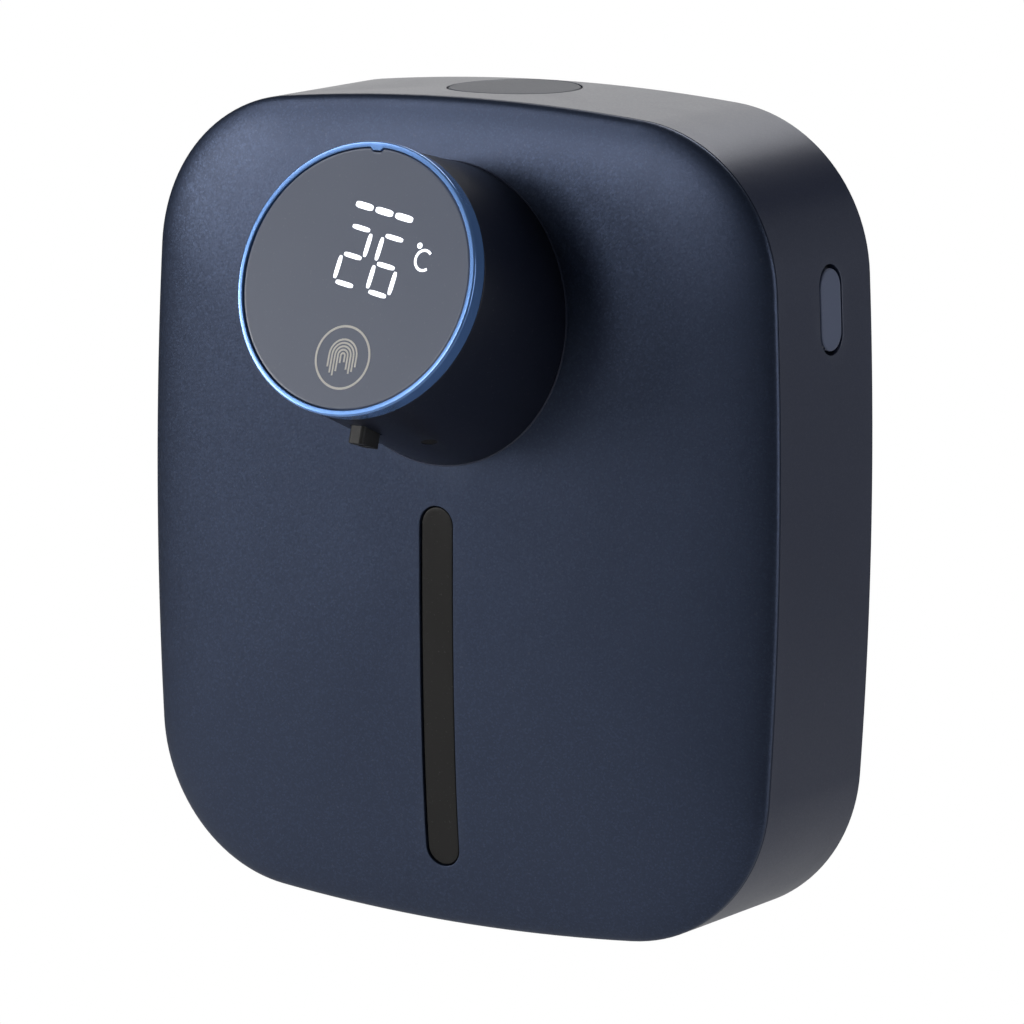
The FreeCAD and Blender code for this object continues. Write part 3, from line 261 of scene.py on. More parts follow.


# the worn colour of each look is the lighter colour on turning edges: partly wear, partly a painted edge
# highlight
looks = {
    "panel_paint": {"colour": (0.037, 0.053, 0.101), "second": (0.044, 0.062, 0.117), "rough": (0.36, 0.44),
                    "grain": 1500.0, "bump": 0.06, "wearAndHighlight": 0.25, "wornAndHighlightColour": (0.10, 0.13, 0.2),
                    "flakes": 0.06, "flakeSize": 3600.0, "sparkle": 0.22, "flakeColour": (0.10, 0.15, 0.27),
                    "shader": {"Metallic": 0.7, "Coat Weight": 0.2, "Coat Roughness": 0.35}},
    "band_paint": {"colour": (0.026, 0.036, 0.082), "second": (0.031, 0.043, 0.094), "rough": (0.30, 0.37),
                   "grain": 2200.0, "bump": 0.05, "wearAndHighlight": 0.3, "wornAndHighlightColour": (0.12, 0.14, 0.19),
                   "flakes": 0.04, "flakeSize": 4200.0, "sparkle": 0.2, "flakeColour": (0.07, 0.09, 0.16),
                   "shader": {"Metallic": 0.25, "Coat Weight": 0.35, "Coat Roughness": 0.3}},
    "dark_plastic": {"colour": (0.016, 0.018, 0.023), "second": (0.022, 0.025, 0.031), "rough": (0.48, 0.62),
                     "grain": 1400.0, "bump": 0.25, "wearAndHighlight": 0.5, "wornAndHighlightColour": (0.09, 0.1, 0.11)},
    "clear_smoke": {"colour": (0.0135, 0.013, 0.0125), "second": (0.0155, 0.015, 0.0145),
                    "rough": (0.34, 0.42),
                    "grain": 1100.0, "bump": 0.04, "wearAndHighlight": 0.2, "smudge": 0.08,
                    "shader": {"Specular IOR Level": 0.35}},
    "tank_plastic": {"colour": (0.72, 0.77, 0.82), "second": (0.80, 0.84, 0.87), "rough": (0.30, 0.42),
                     "grain": 700.0, "bump": 0.12, "wearAndHighlight": 0.2,
                     "shader": {"Transmission Weight": 0.55, "IOR": 1.49}},
    "barrel_gloss": {"colour": (0.0130, 0.0165, 0.0340), "second": (0.0155, 0.0195, 0.0390),
                     "rough": (0.27, 0.34),
                     "grain": 1700.0, "bump": 0.04, "wearAndHighlight": 0.4, "wornAndHighlightColour": (0.08, 0.1, 0.14),
                     "shader": {"Specular IOR Level": 0.3, "Coat Weight": 0.08, "Coat Roughness": 0.3}},
    "blue_chrome": {"colour": (0.205, 0.425, 0.94), "second": (0.215, 0.44, 0.96), "rough": (0.22, 0.24),
                    "grain": 2400.0, "bump": 0.0, "wearAndHighlight": 0.02, "wornAndHighlightColour": (0.5, 0.65, 0.95),
                    "smudge": 0.0, "shader": {"Metallic": 0.55, "Coat Weight": 1.0, "Coat Roughness": 0.06}},
    "face_glass": {"colour": (0.098, 0.125, 0.200), "second": (0.107, 0.136, 0.213), "rough": (0.30, 0.36),
                   "grain": 1300.0, "bump": 0.02, "wearAndHighlight": 0.2, "smudge": 0.06, "smudgeScale": 90.0,
                   "shader": {"Coat Weight": 0.3, "Coat Roughness": 0.2}},
    "light_guide": {"colour": (0.85, 0.87, 0.9), "second": (0.9, 0.92, 0.94), "rough": (0.3, 0.4),
                    "grain": 900.0, "bump": 0.05},
    "circuit": {"colour": (0.008, 0.085, 0.045), "second": (0.012, 0.11, 0.055), "rough": (0.35, 0.5),
                "grain": 500.0, "drift": 300.0, "bump": 0.3, "wearAndHighlight": 0.5, "wornAndHighlightColour": (0.45, 0.42, 0.25)},
    "black_plastic": {"colour": (0.010, 0.010, 0.011), "second": (0.016, 0.016, 0.017), "rough": (0.4, 0.52),
                      "grain": 1500.0, "bump": 0.2, "wearAndHighlight": 0.5, "wornAndHighlightColour": (0.1, 0.1, 0.1)},
    "silicone": {"colour": (0.50, 0.52, 0.55), "second": (0.57, 0.59, 0.62), "rough": (0.5, 0.62),
                 "grain": 1000.0, "bump": 0.1, "shader": {"Transmission Weight": 0.25}},
    "cap_rubber": {"colour": (0.050, 0.062, 0.100), "second": (0.058, 0.071, 0.112), "rough": (0.52, 0.62),
                   "grain": 2000.0, "bump": 0.12, "wearAndHighlight": 0.4, "wornAndHighlightColour": (0.13, 0.15, 0.2), "dust": 0.1,
                   "shader": {"Sheen Weight": 0.25, "Sheen Roughness": 0.5}},
    "steel": {"colour": (0.56, 0.57, 0.59), "second": (0.64, 0.64, 0.65), "rough": (0.22, 0.36),
              "grain": 1200.0, "bump": 0.15, "wearAndHighlight": 0.3, "shader": {"Metallic": 1.0}},
    "cell_wrap": {"colour": (0.60, 0.62, 0.65), "second": (0.68, 0.69, 0.71), "rough": (0.3, 0.5),
                  "grain": 300.0, "drift": 120.0, "bump": 0.35, "depth": 0.0001, "shader": {"Metallic": 0.9}},
    "pump_plastic": {"colour": (0.72, 0.71, 0.67), "second": (0.78, 0.77, 0.74), "rough": (0.42, 0.55),
                     "grain": 900.0, "bump": 0.12, "wearAndHighlight": 0.3, "wornAndHighlightColour": (0.9, 0.9, 0.88)},
    "foam_tape": {"colour": (0.030, 0.030, 0.031), "second": (0.045, 0.045, 0.046), "rough": (0.8, 0.95),
                  "grain": 1100.0, "bump": 0.6, "depth": 0.0001, "dust": 0.1},
    "foam": {"colour": (0.055, 0.056, 0.060), "second": (0.075, 0.076, 0.081), "rough": (0.85, 1.0),
             "grain": 800.0, "bump": 0.8, "depth": 0.00015, "dust": 0.1},
}
finishes = {name: finish(name, look) for name, look in looks.items()}

litWhite = finish("litSegments", {"colour": (0.85, 0.87, 0.9), "second": (0.9, 0.92, 0.95),
                                  "rough": (0.4, 0.5),
                                  "grain": 1400.0, "bump": 0.02, "emission": (0.86, 0.90, 1.0),
                                  "emissionSecond": (0.95, 0.97, 1.0), "shader": {"Emission Strength": 1.3}})
# a lighter, bluer copy of the cap rubber for the charging flap: painted light that brightens the flap
litFlapRubber = finish("litFlapRubber", {"colour": (0.130, 0.163, 0.275), "second": (0.142, 0.178, 0.298),
                                    "rough": (0.5, 0.6), "grain": 2000.0, "bump": 0.12, "wearAndHighlight": 0.4,
                                    "wornAndHighlightColour": (0.16, 0.18, 0.25), "dust": 0.08,
                                    "shader": {"Sheen Weight": 0.2, "Sheen Roughness": 0.5}})
printedCream = finish("printedSymbol", {"colour": (0.74, 0.72, 0.68), "second": (0.82, 0.80, 0.76),
                                        "rough": (0.5, 0.6), "grain": 1500.0, "bump": 0.05})
print("materials ready:", len(finishes) + 3)


# mesh helpers

def makeObject(name, points, faces, attributes=None):
    mesh = bpy.data.meshes.new(name)
    mesh.from_pydata([Vector(p) * mm for p in points], [], faces)
    for key, values in (attributes or {}).items():
        layer = mesh.attributes.new(key, "FLOAT", "POINT")
        layer.data.foreach_set("value", values)
    mesh.update()
    piece = bpy.data.objects.new(name, mesh)
    scene.collection.objects.link(piece)
    return piece


def tidyMesh(piece, gap=0.000002, outward=True):
    shape = bmesh.new()
    shape.from_mesh(piece.data)
    bmesh.ops.remove_doubles(shape, verts=shape.verts, dist=gap)
    if outward:
        bmesh.ops.recalc_face_normals(shape, faces=shape.faces)
    shape.to_mesh(piece.data)
    shape.free()
    return piece


def bakeModifiers(piece):
    graph = bpy.context.evaluated_depsgraph_get()
    graph.update()
    mesh = bpy.data.meshes.new_from_object(piece.evaluated_get(graph))
    piece.modifiers.clear()
    piece.data = mesh
    return piece


def carve(piece, cutter, operation="DIFFERENCE"):
    modifier = piece.modifiers.new("carve", "BOOLEAN")
    modifier.object = cutter
    modifier.operation = operation
    modifier.solver = "EXACT"
    bakeModifiers(piece)
    bpy.data.objects.remove(cutter)
    return piece


def roundEdges(piece, width, segments=2, angle=35):
    modifier = piece.modifiers.new("edges", "BEVEL")
    modifier.width = width * mm
    modifier.segments = segments
    modifier.limit_method = "ANGLE"
    modifier.angle_limit = math.radians(angle)
    modifier.use_clamp_overlap = True
    modifier.miter_outer = "MITER_ARC"
    return bakeModifiers(piece)


def markWearAndHighlight(piece):
    # 1 where a vertex sits on a turning edge, 0 on flat ground; the finishes lighten these edges, partly as
    # wear and partly as a painted edge highlight
    shape = bmesh.new()
    shape.from_mesh(piece.data)
    values = []
    for vertex in shape.verts:
        turns = [edge.calc_face_angle(0.0) for edge in vertex.link_edges]
        values.append(min(1.0, max(turns, default=0.0) / 0.6))
    shape.free()
    layer = piece.data.attributes.new("wearAndHighlight", "FLOAT", "POINT")
    layer.data.foreach_set("value", values)


def smooth(piece, angle=32, rule=None):
    piece.data.shade_smooth()
    piece.data.set_sharp_from_angle(angle=math.radians(angle))
    weighted = piece.modifiers.new("weighted", "WEIGHTED_NORMAL")
    weighted.keep_sharp = True
    weighted.weight = 80
    mesh = bakeModifiers(piece).data
    if rule is None:
        return piece
    normals = [corner.vector.copy() for corner in mesh.corner_normals]
    for polygon in mesh.polygons:
        for loop in polygon.loop_indices:
            point = mesh.vertices[mesh.loops[loop].vertex_index].co
            normal = rule(point / mm, polygon.normal)
            if normal is not None:
                normals[loop] = normal
    mesh.normals_split_custom_set(normals)
    return piece


def complete(piece, bodyName, slotName, replaced=(), material=None, rule=None, angle=32):
    markWearAndHighlight(piece)
    smooth(piece, angle, rule)
    piece.data.materials.clear()
    piece.data.materials.append(material or finishes[slotName])
    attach(piece, bodyName)
    if replaced:
        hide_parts(*replaced)
    print("made", piece.name, len(piece.data.polygons), "faces")
    return piece


def ringFaces(ringCount, pointCount, closed=False):
    faces = []
    last = ringCount if closed else ringCount - 1
    for ring in range(last):
        here = ring * pointCount
        there = (ring + 1) % ringCount * pointCount
        for i in range(pointCount):
            j = (i + 1) % pointCount
            faces.append((here + i, here + j, there + j, there + i))
    return faces


def revolved(name, profile, angles, place):
    # profile: (radius, depth) pairs that close on themselves; a radius may depend on the angle
    points = []
    for radius, depth in profile:
        for angle in angles:
            r = radius(angle) if callable(radius) else radius
            points.append(place(r * math.cos(angle), r * math.sin(angle), depth))
    piece = makeObject(name, points, ringFaces(len(profile), len(angles), True))
    return tidyMesh(piece)


def evenAngles(count):
    return [2 * math.pi * i / count for i in range(count)]


def quarterTurn(radius, steps):
    # how far along and how far in each step of a rounded edge lies
    turns = [math.pi / 2 * i / steps for i in range(steps + 1)]
    return [(radius * math.sin(turn), radius - radius * math.cos(turn)) for turn in turns]


def rodSection(radius, near, far):
    return [(0.0, near), (radius, near), (radius, far), (0.0, far)]


# outline of the body

body = {"halfWidth": 58.1, "halfHeight": 66.0, "sideRadius": 680.0, "topRadius": 335.0, "cornerRadius": 26.5,
        "rim": -30.1, "bandFront": -29.85, "back": -1.0, "flare": 0.008, "crown": 6.25, "power": 0.46,
        "coverWall": 2.0, "shellWall": 2.6}

sideCentre = Vector((body["halfWidth"] - body["sideRadius"], 0))
topCentre = Vector((0, body["halfHeight"] - body["topRadius"]))


def findCorner():
    sideReach = body["sideRadius"] - body["cornerRadius"]
    topReach = body["topRadius"] - body["cornerRadius"]
    span = (topCentre - sideCentre).length
    along = (span ** 2 + sideReach ** 2 - topReach ** 2) / (2 * span)
    across = math.sqrt(sideReach ** 2 - along ** 2)
    unit = (topCentre - sideCentre).normalized()
    return sideCentre + unit * along + Vector((-unit.y, unit.x)) * across


corner = findCorner()
sideEnd = sideCentre + (corner - sideCentre).normalized() * body["sideRadius"]
topEnd = topCentre + (corner - topCentre).normalized() * body["topRadius"]


def arcOf(x, z):
    # centre and radius of the arc that the direction (x, z) meets, for x and z not below zero
    if z * sideEnd.x <= x * sideEnd.y:
        return sideCentre, body["sideRadius"]
    if z * topEnd.x >= x * topEnd.y:
        return topCentre, body["topRadius"]
    return corner, body["cornerRadius"]


def outlineFrame(x, z):
    # share of the way out to the outline, the outline point and its normal
    ax, az = abs(x), abs(z)
    distance = math.hypot(ax, az)
    if distance < 1e-9:
        return 0.0, Vector((0, body["halfHeight"])), Vector((0, 1))
    direction = Vector((ax, az)) / distance
    centre, radius = arcOf(ax, az)
    middle = direction.dot(centre)
    reach = middle + math.sqrt(middle ** 2 - centre.length_squared + radius ** 2)
    point = direction * reach
    normal = (point - centre).normalized()
    sx, sz = math.copysign(1, x), math.copysign(1, z)
    return distance / reach, Vector((point.x * sx, point.y * sz)), Vector((normal.x * sx, normal.y * sz))


def outlinePoints():
    # (point, normal) all the way round, closer together in the corners
    quarter = []
    sideTurn = math.atan2((sideEnd - sideCentre).y, (sideEnd - sideCentre).x)
    cornerEnd = math.atan2((topEnd - corner).y, (topEnd - corner).x)
    for centre, radius, start, end, count in ((sideCentre, body["sideRadius"], 0.0, sideTurn, 12),
                                              (corner, body["cornerRadius"], sideTurn, cornerEnd, 26),
                                              (topCentre, body["topRadius"], cornerEnd, math.pi / 2, 10)):
        for i in range(count):
            angle = start + (end - start) * i / count
            normal = Vector((math.cos(angle), math.sin(angle)))
            quarter.append((centre + normal * radius, normal))
    top = (Vector((0, body["halfHeight"])), Vector((0, 1)))
    mirrored = [(Vector((-p.x, p.y)), Vector((-n.x, n.y))) for p, n in reversed(quarter)]
    upper = quarter + [top] + mirrored
    lower = [(Vector((p.x, -p.y)), Vector((n.x, -n.y))) for p, n in reversed(upper[1:-1])]
    return upper + lower


ringPoints = outlinePoints()


def crownY(x, z):
    share = min(outlineFrame(x, z)[0], 1.0)
    return body["rim"] - body["crown"] * (1 - share ** 2) ** body["power"]


def crownNormal(x, z):
    share, point, normal = outlineFrame(x, z)
    if share > 0.9999:
        return Vector((normal.x, 0, normal.y))
    slope = body["crown"] * body["power"] * 2 * share * (1 - share ** 2) ** (body["power"] - 1)
    slope /= max(normal.dot(point), 1e-6)
    return Vector((slope * normal.x, -1, slope * normal.y)).normalized()


def panelRule(point, faceNormal):
    if abs(point.y - crownY(point.x, point.z)) > 0.03:
        return None
    normal = crownNormal(point.x, point.z)
    return normal if normal.dot(faceNormal) > 0.55 else None


def flareAt(y):
    return 1 + body["flare"] * (y - body["bandFront"]) / (body["back"] - body["bandFront"])


def sideX(y, z):
    # outer face of the band on the right, at depth y and height z
    scale = flareAt(y)
    height = abs(z) / scale
    low = height < sideEnd.y
    centre, radius = (sideCentre, body["sideRadius"]) if low else (corner, body["cornerRadius"])
    return scale * (centre.x + math.sqrt(radius ** 2 - (height - centre.y) ** 2))


def topZ(x, y):
    scale = flareAt(y)
    width = abs(x) / scale
    centre, radius = (topCentre, body["topRadius"]) if width < topEnd.x else (corner, body["cornerRadius"])
    return scale * (centre.y + math.sqrt(radius ** 2 - (width - centre.x) ** 2))


def bandRule(point, faceNormal):
    share, edge, normal = outlineFrame(point.x, point.z)
    scale = flareAt(point.y)
    if abs(share / scale - 1) > 0.0004:
        return None
    slope = body["flare"] / (body["back"] - body["bandFront"]) * normal.dot(edge)
    outward = Vector((normal.x, -slope, normal.y)).normalized()
    return outward if outward.dot(faceNormal) > 0.9 else None


# stadium shapes that lie on a surface

def stadiumRing(radius, low, high, arc=20, straight=26):
    # points round a vertical slot whose end centres are low and high
    ring = []
    for i in range(arc + 1):
        angle = math.pi * i / arc
        ring.append((radius * math.cos(angle), high + radius * math.sin(angle)))
    for i in range(1, straight):
        ring.append((-radius, high + (low - high) * i / straight))
    for i in range(arc + 1):
        angle = math.pi + math.pi * i / arc
        ring.append((radius * math.cos(angle), low + radius * math.sin(angle)))
    for i in range(1, straight):
        ring.append((radius, low + (high - low) * i / straight))
    return ring


def stadiumSolid(name, profile, low, high, place, **detail):
    # profile: (radius, depth) pairs from the front face's middle line round to the back's
    points = []
    count = 0
    for radius, depth in profile:
        ring = stadiumRing(radius, low, high, **detail)
        count = len(ring)
        points += [place(a, b, depth) for a, b in ring]
    return tidyMesh(makeObject(name, points, ringFaces(len(profile), count)))


def roundedProfile(radius, top, bottom, edge, steps=4):
    # half a section: flat middle, rounded rim, straight side, back middle
    profile = [(0.0, top)] + [(radius * share, top) for share in (0.4, 0.75)]
    profile += [(radius - edge + along, top + inward) for along, inward in quarterTurn(edge, steps)]
    return profile + [(radius, bottom), (radius * 0.5, bottom), (0.0, bottom)]


# front panel: flat rings that a node tree crowns

panel = {"riseSteps": 14, "riseStep": 0.06, "innerShare": (0.62, 0.42, 0.2, 0.06)}


def crownTree():
    tree = bpy.data.node_groups.new("crownedPanel", "GeometryNodeTree")
    addSocket(tree, "Geometry", "INPUT", "NodeSocketGeometry")
    addSocket(tree, "Crown Height", "INPUT", "NodeSocketFloat", 0.006)
    addSocket(tree, "Crown Power", "INPUT", "NodeSocketFloat", 0.5)
    addSocket(tree, "Paint", "INPUT", "NodeSocketMaterial")
    addSocket(tree, "Geometry", "OUTPUT", "NodeSocketGeometry")
    entry = addNode(tree, "NodeGroupInput", -900)
    leave = addNode(tree, "NodeGroupOutput", 700)
    share = addNode(tree, "GeometryNodeInputNamedAttribute", -900, -250, data_type="FLOAT")
    share.inputs["Name"].default_value = "share"
    square = mathNode(tree, "MULTIPLY", share.outputs["Attribute"], share.outputs["Attribute"], -700, -250)
    rest = mathNode(tree, "SUBTRACT", 1.0, square, -500, -250, clamp=True)
    raised = mathNode(tree, "POWER", rest, entry.outputs["Crown Power"], -300, -250)
    height = mathNode(tree, "MULTIPLY", raised, entry.outputs["Crown Height"], -100, -250)
    back = mathNode(tree, "MULTIPLY", height, -1.0, 50, -250)
    offset = addNode(tree, "ShaderNodeCombineXYZ", 200, -250)
    connect(tree, back, offset.inputs["Y"])
    move = addNode(tree, "GeometryNodeSetPosition", 300)
    connect(tree, entry.outputs["Geometry"], move.inputs["Geometry"])
    connect(tree, offset.outputs[0], move.inputs["Offset"])
    real = addNode(tree, "GeometryNodeRealizeInstances", 420)
    connect(tree, move.outputs[0], real.inputs[0])
    paint = addNode(tree, "GeometryNodeSetMaterial", 550)
    connect(tree, real.outputs[0], paint.inputs["Geometry"])
    connect(tree, entry.outputs["Paint"], paint.inputs["Material"])
    connect(tree, paint.outputs[0], leave.inputs[0])
    return tree


def runTree(piece, tree, **values):
    modifier = piece.modifiers.new("nodes", "NODES")
    modifier.node_group = tree
    for item in tree.interface.items_tree:
        key = item.name.replace(" ", "_")
        if item.in_out == "INPUT" and key in values:
            modifier[item.identifier] = values[key]
    return bakeModifiers(piece)


def panelShares():
    shares = []
    for i in range(panel["riseSteps"]):
        rise = panel["riseStep"] * i
        shares.append(math.sqrt(1 - rise ** (1 / body["power"])) if rise else 1.0)
    return shares + [s for s in panel["innerShare"] if s < shares[-1]]


def buildPanel():
    outer = panelShares()
    backShare = math.sqrt(1 - (body["coverWall"] / body["crown"]) ** (1 / body["power"]))
    inner = [s for s in outer if s < backShare - 0.01]
    rings = [(s, 0.0) for s in outer] + [(0.0, 0.0)]
    rings += [(0.0, body["coverWall"])] + [(s, body["coverWall"]) for s in reversed(inner)]
    rings += [(backShare, body["coverWall"])]
    points = []
    shares = []
    for share, shift in rings:
        for point, _ in ringPoints:
            points.append((point.x * share, body["rim"] + shift, point.y * share))
            shares.append(share)
    faces = ringFaces(len(rings), len(ringPoints), True)
    middle = len(outer) * len(ringPoints)
    count = len(ringPoints)
    faces = [f for f in faces if not all(middle <= i < middle + 2 * count for i in f)]
    piece = makeObject("front_panel", points, faces, {"share": shares})
    runTree(piece, crownTree(), Crown_Height=body["crown"] * mm, Crown_Power=body["power"],
            Paint=finishes["panel_paint"])
    return tidyMesh(piece)


window = {"radius": 3.05, "top": 2.3, "bottom": -56.1, "gap": 0.15, "inset": 0.35, "chamfer": 0.28,
          "cutFront": -2.0, "cutBack": 6.0, "stripEdge": 0.22, "stripBack": 2.5,
          "flange": 1.8, "flangeBack": 3.5}


def onCrown(a, b, depth):
    return (a, crownY(a, b) + depth, b)


def windowCutter():
    soft = window["chamfer"]
    radius, front, back = window["radius"], window["cutFront"], window["cutBack"]
    profile = [(0.0, front), (radius + soft, front), (radius + soft, 0.0),
               (radius + soft * 0.35, soft * 0.25), (radius, soft), (radius, back), (0.0, back)]
    return stadiumSolid("windowCutter", profile, window["bottom"] + window["radius"],
                        window["top"] - window["radius"], onCrown)


# frame of the spout head

head = {"origin": Vector((0, -59.43, 40.82)), "tilt": math.radians(17.35), "ringRadius": 21.3,
        "ringInner": 20.35, "ringLength": 2.85, "ringEdge": 0.35, "nubHalf": 1.2, "nubHeight": 0.5,
        "barrelStart": 3.1, "barrelRadius": 21.15, "barrelFlare": 0.082, "barrelWall": 2.0, "glassInset": 0.3,
        "glassBack": 1.5, "baseY": -30.5, "nozzleDepth": 10.2, "sensorDepth": 18.8, "sensorAngle": 16.0,
        "cutStart": 2.0, "cutStep": 10.0, "cutSteps": 5, "cutGap": 0.15}
headUp = Vector((0, math.sin(head["tilt"]), math.cos(head["tilt"])))
headOut = Vector((0, -math.cos(head["tilt"]), math.sin(head["tilt"])))


def onHead(a, b, depth):
    # a to the right, b up the face, depth behind the face
    return head["origin"] + Vector((a, 0, 0)) + headUp * b - headOut * depth


def barrelRadius(depth):
    return head["barrelRadius"] + head["barrelFlare"] * (depth - head["barrelStart"])


search = {"firstDepth": 25.0, "steps": 30, "share": 0.8}


def coneAt(angle, offset, planeY):
    # depth at which the flared barrel's line at this angle meets a plane of constant y, or the crown
    depth = search["firstDepth"]
    for _ in range(search["steps"]):
        radius = barrelRadius(depth) + offset
        point = onHead(radius * math.cos(angle), radius * math.sin(angle), depth)
        target = planeY(point) if callable(planeY) else planeY
        depth += (target - point.y) / math.cos(head["tilt"]) * search["share"]
    return depth


def barrelCutter():
    depths = [head["cutStart"] + head["cutStep"] * i for i in range(head["cutSteps"])]
    profile = [(barrelRadius(depth) + head["cutGap"], depth) for depth in depths]
    profile = [(0.0, depths[0])] + profile + [(0.0, depths[-1])]
    return revolved("barrelCutter", profile, evenAngles(144), onHead)


frontPanel = buildPanel()
carve(frontPanel, windowCutter())
carve(frontPanel, barrelCutter())
complete(frontPanel, "dispenser", "panel_paint", ["front_cover"], rule=panelRule)


# side band

band = {"frontEdge": 0.3, "backEdge": 0.7, "rows": 9, "capRadius": 10.6, "capX": -1.0, "capY": -12.6,
        "wellGap": 0.15, "wellFloor": 64.1, "wellSoft": 0.25, "wellDeep": 9.0, "wellOver": -3.0,
        "neckRadius": 7.75, "neckBottom": 55.0, "neckTop": 66.5,
        "flapY": -13.8, "flapZ": 35.4, "flapHalf": 6.4, "flapRadius": 3.1, "sideReach": 58.0,
        "pocketEnd": 0.6, "pocketSide": 0.3, "pocketBack": 55.25, "pocketSoft": 0.2, "pocketOver": -2.0,
        "bossBack": 52.85, "bossFront": 56.0, "bossSide": 2.3, "bossEnd": 2.6,
        "socketRise": 1.1, "socketHalf": 4.62, "socketRadius": 1.78, "socketBack": 50.0, "socketFront": 57.0}


def bandRows():
    front, back = body["bandFront"], body["back"]
    edge = band["frontEdge"]
    rows = [(front + inward, edge - along) for along, inward in quarterTurn(edge, 4)]
    start = front + edge
    end = back - band["backEdge"]
    rows += [(start + (end - start) * i / band["rows"], 0.0) for i in range(1, band["rows"])]
    return rows + [(end + along, inward) for along, inward in quarterTurn(band["backEdge"], 6)]


def buildBand():
    rows = bandRows()
    points = []
    for y, inset in rows:
        scale = flareAt(y)
        for point, normal in ringPoints:
            spot = point * scale - normal * inset
            points.append((spot.x, y, spot.y))
    inner = [body["back"] + (body["bandFront"] - body["back"]) * i / 4 for i in range(5)]
    for y in inner:
        for point, normal in ringPoints:
            spot = point - normal * body["shellWall"]
            points.append((spot.x, y, spot.y))
    return tidyMesh(makeObject("side_band", points, ringFaces(len(rows) + 5, len(ringPoints), True)))


def onSide(a, b, depth):
    # a along the depth of the body, b up, depth inwards from the band's outer face
    return (sideX(band["flapY"] + a, b) - depth, band["flapY"] + a, b)


def sideStadium(name, radius, half, near, far, rise=0.0):
    # near and far are distances from the middle of the body
    def place(a, b, x):
        return (x, band["flapY"] + a, b)

    middle = band["flapZ"] + rise
    low, high = middle - half + radius, middle + half - radius
    return stadiumSolid(name, rodSection(radius, near, far), low, high, place)


def pocketCutter():
    radius = band["flapRadius"] + band["pocketSide"]
    half = band["flapHalf"] + band["pocketEnd"]
    low, high = band["flapZ"] - half + radius, band["flapZ"] + half - radius
    floor = band["sideReach"] - band["pocketBack"]
    soft, over = band["pocketSoft"], band["pocketOver"]

    def place(a, b, depth):
        point = onSide(a, b, depth)
        return (band["pocketBack"], point[1], point[2]) if depth > floor else point

    profile = [(0.0, over), (radius + soft, over), (radius + soft, 0.0), (radius + 0.06, 0.06),
               (radius, soft), (radius, floor + 1), (0.0, floor + 1)]
    return stadiumSolid("pocketCutter", profile, low, high, place)


def socketCutter():
    return sideStadium("socketCutter", band["socketRadius"], band["socketHalf"], band["socketBack"],
                       band["socketFront"], band["socketRise"])


def bossSolid():
    return sideStadium("boss", band["flapRadius"] + band["bossSide"], band["flapHalf"] + band["bossEnd"],
                       band["bossBack"], band["bossFront"])


def wellCutter():
    radius = band["capRadius"] + band["wellGap"]

    def place(a, b, depth):
        x, y = band["capX"] + a, band["capY"] + b
        return (x, y, band["wellFloor"] if depth > 5 else topZ(x, y) - depth)

    soft, over, deep = band["wellSoft"], band["wellOver"], band["wellDeep"]
    profile = [(0.0, over), (radius + soft, over), (radius + soft, 0.0), (radius + 0.07, 0.07),
               (radius, soft), (radius, deep), (0.0, deep)]
    return revolved("wellCutter", profile, evenAngles(96), place)


def neckCutter():
    def place(a, b, z):
        return (band["capX"] + a, band["capY"] + b, z)

    section = rodSection(band["neckRadius"], band["neckBottom"], band["neckTop"])
    return revolved("neckCutter", section, evenAngles(64), place)


sideBand = buildBand()
carve(sideBand, bossSolid(), "UNION")
carve(sideBand, pocketCutter())
carve(sideBand, socketCutter())
carve(sideBand, wellCutter())
carve(sideBand, neckCutter())
complete(sideBand, "dispenser", "band_paint", ["housing_shell"], rule=bandRule)


# level window

def buildWindow():
    radius = window["radius"] - window["gap"]
    flange = window["radius"] + window["flange"]
    near, far = window["stripBack"], window["flangeBack"]
    profile = roundedProfile(radius, window["inset"], near, window["stripEdge"])[:-3]
    profile += [(radius, near), (flange, near), (flange, far), (radius * 0.5, far), (0.0, far)]
    return stadiumSolid("level_strip", profile, window["bottom"] + window["radius"],
                        window["top"] - window["radius"], onCrown)


complete(buildWindow(), "dispenser", "clear_smoke", ["level_window"])


# refill cap

plug = {"rim": 0.35, "seat": 64.35, "radius": 5.95, "groove": 5.1, "grooveTop": 61.35, "grooveBottom": 60.05,
        "end": 57.85, "soft": 0.3, "bore": 4.0, "boreTop": 63.5}


def buildCap():
    radius, rim, seat = band["capRadius"], plug["rim"], plug["seat"]
    stem, end, bore = plug["radius"], plug["end"], plug["bore"]
    rows = [(0.0, 0.0), (radius * 0.3, 0.0), (radius * 0.6, 0.0), (radius * 0.85, 0.0)]
    rows += [(radius - rim + along, inward) for along, inward in quarterTurn(rim, 5)]
    lower = [(radius, seat + 0.1), (radius - 0.1, seat), (stem, seat), (stem, plug["grooveTop"]),
             (plug["groove"], plug["grooveTop"]), (plug["groove"], plug["grooveBottom"]),
             (stem, plug["grooveBottom"]), (stem, end + plug["soft"]), (stem - plug["soft"], end),
             (bore, end), (bore, plug["boreTop"]), (0.0, plug["boreTop"])]

    def place(a, b, depth):
        x, y = band["capX"] + a, band["capY"] + b
        return (x, y, depth if depth > 20 else topZ(x, y) - depth)

    return revolved("refill_cap", rows + lower, evenAngles(96), place)


complete(buildCap(), "fill_lid", "cap_rubber", ["fill_cap"])


# charging flap

flap = {"back": 55.85, "edge": 0.3, "hingeX": 57.05, "hingeZ": 29.85, "knuckle": 0.55, "knuckleHalf": 2.0}


